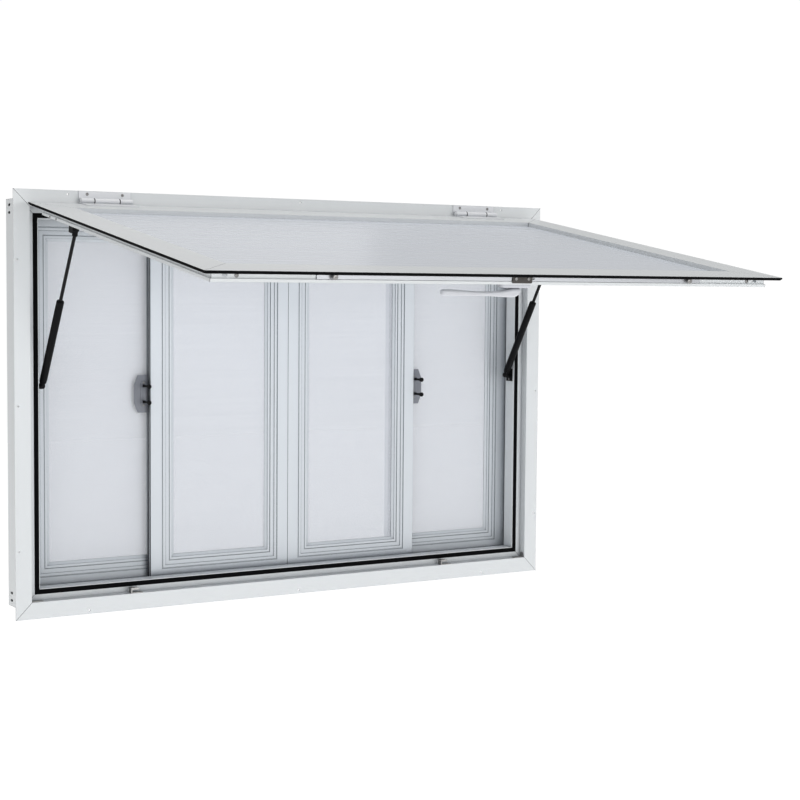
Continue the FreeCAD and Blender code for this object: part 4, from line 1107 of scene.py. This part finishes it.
for number in SCREENS:
    solids = islands(f"sash_{number}_screen")
    low, high = min(solids, key=lambda box: box[1].y - box[0].y)
    sheet = screen_cloth(number, low, high)
    cords = [box for box in solids if box[1].y - box[0].y > 1.5 * MM]
    cord = screen_spline(number, *box_of(corner for box in cords for corner in box))
print("screens", len(SCREENS))

# %% [markdown]
# ## Pile strips
# The two middle sashes slide past the outer ones. Two dark pile strips stand in grooves along each
# overlapping edge to keep flies out. They are low ridges with a rounded top.

# %% Pile strips
STRIP_HALF = 1.6 * MM
STRIP_RISE = 1.2 * MM
STRIP_ROOT = 0.2 * MM
STRIP_DEPTHS = (0.24, 0.78)

for number, edge, way in ((2, 0, -1), (3, 1, 1)):
    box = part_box(f"sash_{number}_frame")
    low, high = box
    face_x = box[edge].x
    for k, depth in enumerate(STRIP_DEPTHS, 1):
        y = low.y + depth * (high.y - low.y)
        outline = [(face_x - way * STRIP_ROOT, y - STRIP_HALF), (face_x - way * STRIP_ROOT, y + STRIP_HALF)]
        outline += [(face_x + way * STRIP_RISE * math.sin(t), y + STRIP_HALF * math.cos(t))
                    for t in (math.pi * (i + 0.5) / 6 for i in range(6))]
        strip = bmesh.new()
        loft_sections(strip, [[(*point, z) for point in outline] for z in (low.z + 6 * MM, high.z - 6 * MM)])
        finish_piece(f"pile_strip_{number}_{k}", strip, f"screen_{number}", "seal_rubber")
print("pile strips", 2 * len(STRIP_DEPTHS))

# %% [markdown]
# ## Sash latches
# The two middle sashes carry a grey moulded plate with cut corners behind their outer edge. Two sprung
# black levers stand on it and are squeezed together to free the latch. The plate has a raised pad with
# a screw at each end, and each lever ends in a small ring.

# %% Latch plates
CUT_X, CUT_Z = 10 * MM, 24 * MM
PAD_HALF_X, PAD_HALF_Z = 9 * MM, 33 * MM
PAD_RISE = 2 * MM
EAR_HALF = (0.7 * MM, 3.6 * MM)


def plate_outline(low, high, depth, shrink):
    """A rectangle with its four corners cut, at one depth."""
    x0, x1, z0, z1 = low.x + shrink, high.x - shrink, low.z + shrink, high.z - shrink
    return [(x, depth, z) for x, z in (
        (x0 + CUT_X, z0), (x1 - CUT_X, z0), (x1, z0 + CUT_Z), (x1, z1 - CUT_Z),
        (x1 - CUT_X, z1), (x0 + CUT_X, z1), (x0, z1 - CUT_Z), (x0, z0 + CUT_Z))]


def latch_plate(side, body, outer):
    low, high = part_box("latch_plate_" + side)
    lever_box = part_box(f"latch_lever_{side}_upper")
    lever_x = (lever_box[0].x + lever_box[1].x) / 2
    pad_x, pad_z = lever_x + outer * 1.5 * MM, (low.z + high.z) / 2
    front = high.y - 1.5 * MM
    plate = bmesh.new()
    loft_sections(plate, [plate_outline(low, high, depth, shrink) for depth, shrink in (
        (high.y, 0.0), (front + 0.4 * MM, 0.0), (front, 0.5 * MM))])
    loft_sections(plate, [[(pad_x + c * (PAD_HALF_X - shrink), depth, pad_z + s * (PAD_HALF_Z - shrink))
                           for c, s in round_points(24, 4)] for depth, shrink in (
        (front + 0.2 * MM, 0.0), (front - 1.2 * MM, 0.2 * MM), (front - PAD_RISE, 1.2 * MM))])
    for z in (pad_z - 20 * MM, pad_z + 20 * MM):
        for x in (lever_x - 5.2 * MM, lever_x + 5.2 * MM):
            add_box(plate, (x - EAR_HALF[0], front - 9.0 * MM, z - EAR_HALF[1]),
                    (x + EAR_HALF[0], front - 1.0 * MM, z + EAR_HALF[1]))
    finish_piece("latch_plate_moulded_" + side, plate, body, "latch_grey", ["latch_plate_" + side],
                 bevel=0.3 * MM)
    for k, z in enumerate((pad_z - 28 * MM, pad_z + 28 * MM), 1):
        pan_screw(f"latch_screw_{side}_{k}", Vector((pad_x, front - PAD_RISE, z)), TO_FRONT, 3.0 * MM, 1.2 * MM,
                  body)


latch_plate("left", "screen_2", 1)
latch_plate("right", "screen_3", -1)
print("latch plates", 2)

# %% Latch levers
BOSS_RADIUS = 3.4 * MM
# Share of the arm's length, then half its width and half its height, in mm.
ARM_STATIONS = ((0.0, 3.4, 3.2), (0.25, 3.2, 2.6), (0.55, 3.1, 2.6), (0.8, 3.7, 3.4), (0.9, 4.0, 4.0))
RING = [(3.0, 0.0), (3.0, 2.6), (0.0, 2.6), (0.0, 4.4), (0.6, 5.4), (2.0, 5.7), (6.0, 5.4), (8.5, 4.2),
        (8.9, 0.0)]


def latch_lever(side, level):
    """A black lever: a pivot boss, a slim arm and a ring at its tip."""
    low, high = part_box(f"latch_lever_{side}_{level}")
    centre = (low + high) / 2
    pivot_y, tip = high.y - BOSS_RADIUS, low.y
    long = high.x - low.x - 1.2 * MM
    soft = BOSS_RADIUS - 0.4 * MM
    lever = bmesh.new()
    add_turned(lever, Vector((low.x + 0.6 * MM, pivot_y, centre.z)), RIGHT,
               [(0, 0), (0, soft), (0.5 * MM, BOSS_RADIUS), (long - 0.5 * MM, BOSS_RADIUS), (long, soft),
                (long, 0)], 24)
    loft_sections(lever, [[(centre.x + wide * MM * c, pivot_y + (tip + 7 * MM - pivot_y) * share,
                            centre.z + tall * MM * s) for c, s in round_points(12)]
                          for share, wide, tall in ARM_STATIONS])
    add_turned(lever, Vector((centre.x, tip, centre.z)), -TO_FRONT, in_mm(RING), 28)
    finish_piece(f"latch_finger_{side}_{level}", lever, f"latch_{side}_{level}", "black_nylon",
                 [f"latch_lever_{side}_{level}"])


for side in ("left", "right"):
    for level in ("upper", "lower"):
        latch_lever(side, level)
print("latch levers", 4)

# %% [markdown]
# ## Floor
# A plain pale floor well below the window. The window hangs on a wall in use, so nothing here touches it,
# and the floor only gives the light somewhere to bounce from.

# %% Floor
FLOOR_DROP = 0.9
FLOOR_HALF = 14.0


def pale_floor():
    material, tree, shader = finish_tree("pale_floor", gloss=0.1)
    drift = noise(tree, place_on(tree), 0.6)
    shown = mixed_colour(tree, drift, (0.93, 0.93, 0.93, 1), (0.97, 0.97, 0.97, 1))
    tree.links.new(shown, shader.inputs["Base Color"])
    shader.inputs["Roughness"].default_value = 0.9
    shader.inputs["Emission Color"].default_value = (1.0, 1.0, 1.0, 1.0)
    shader.inputs["Emission Strength"].default_value = 0.55
    sheet = bmesh.new()
    bmesh.ops.create_grid(sheet, x_segments=8, y_segments=8, size=FLOOR_HALF)
    data = mesh_data("floor", sheet)
    data.materials.append(material)
    floor = new_object("floor", data)
    floor.location.z = cad_box[0][2] - FLOOR_DROP
    return floor


floor = pale_floor()
print("floor at", round(floor.location.z, 3))
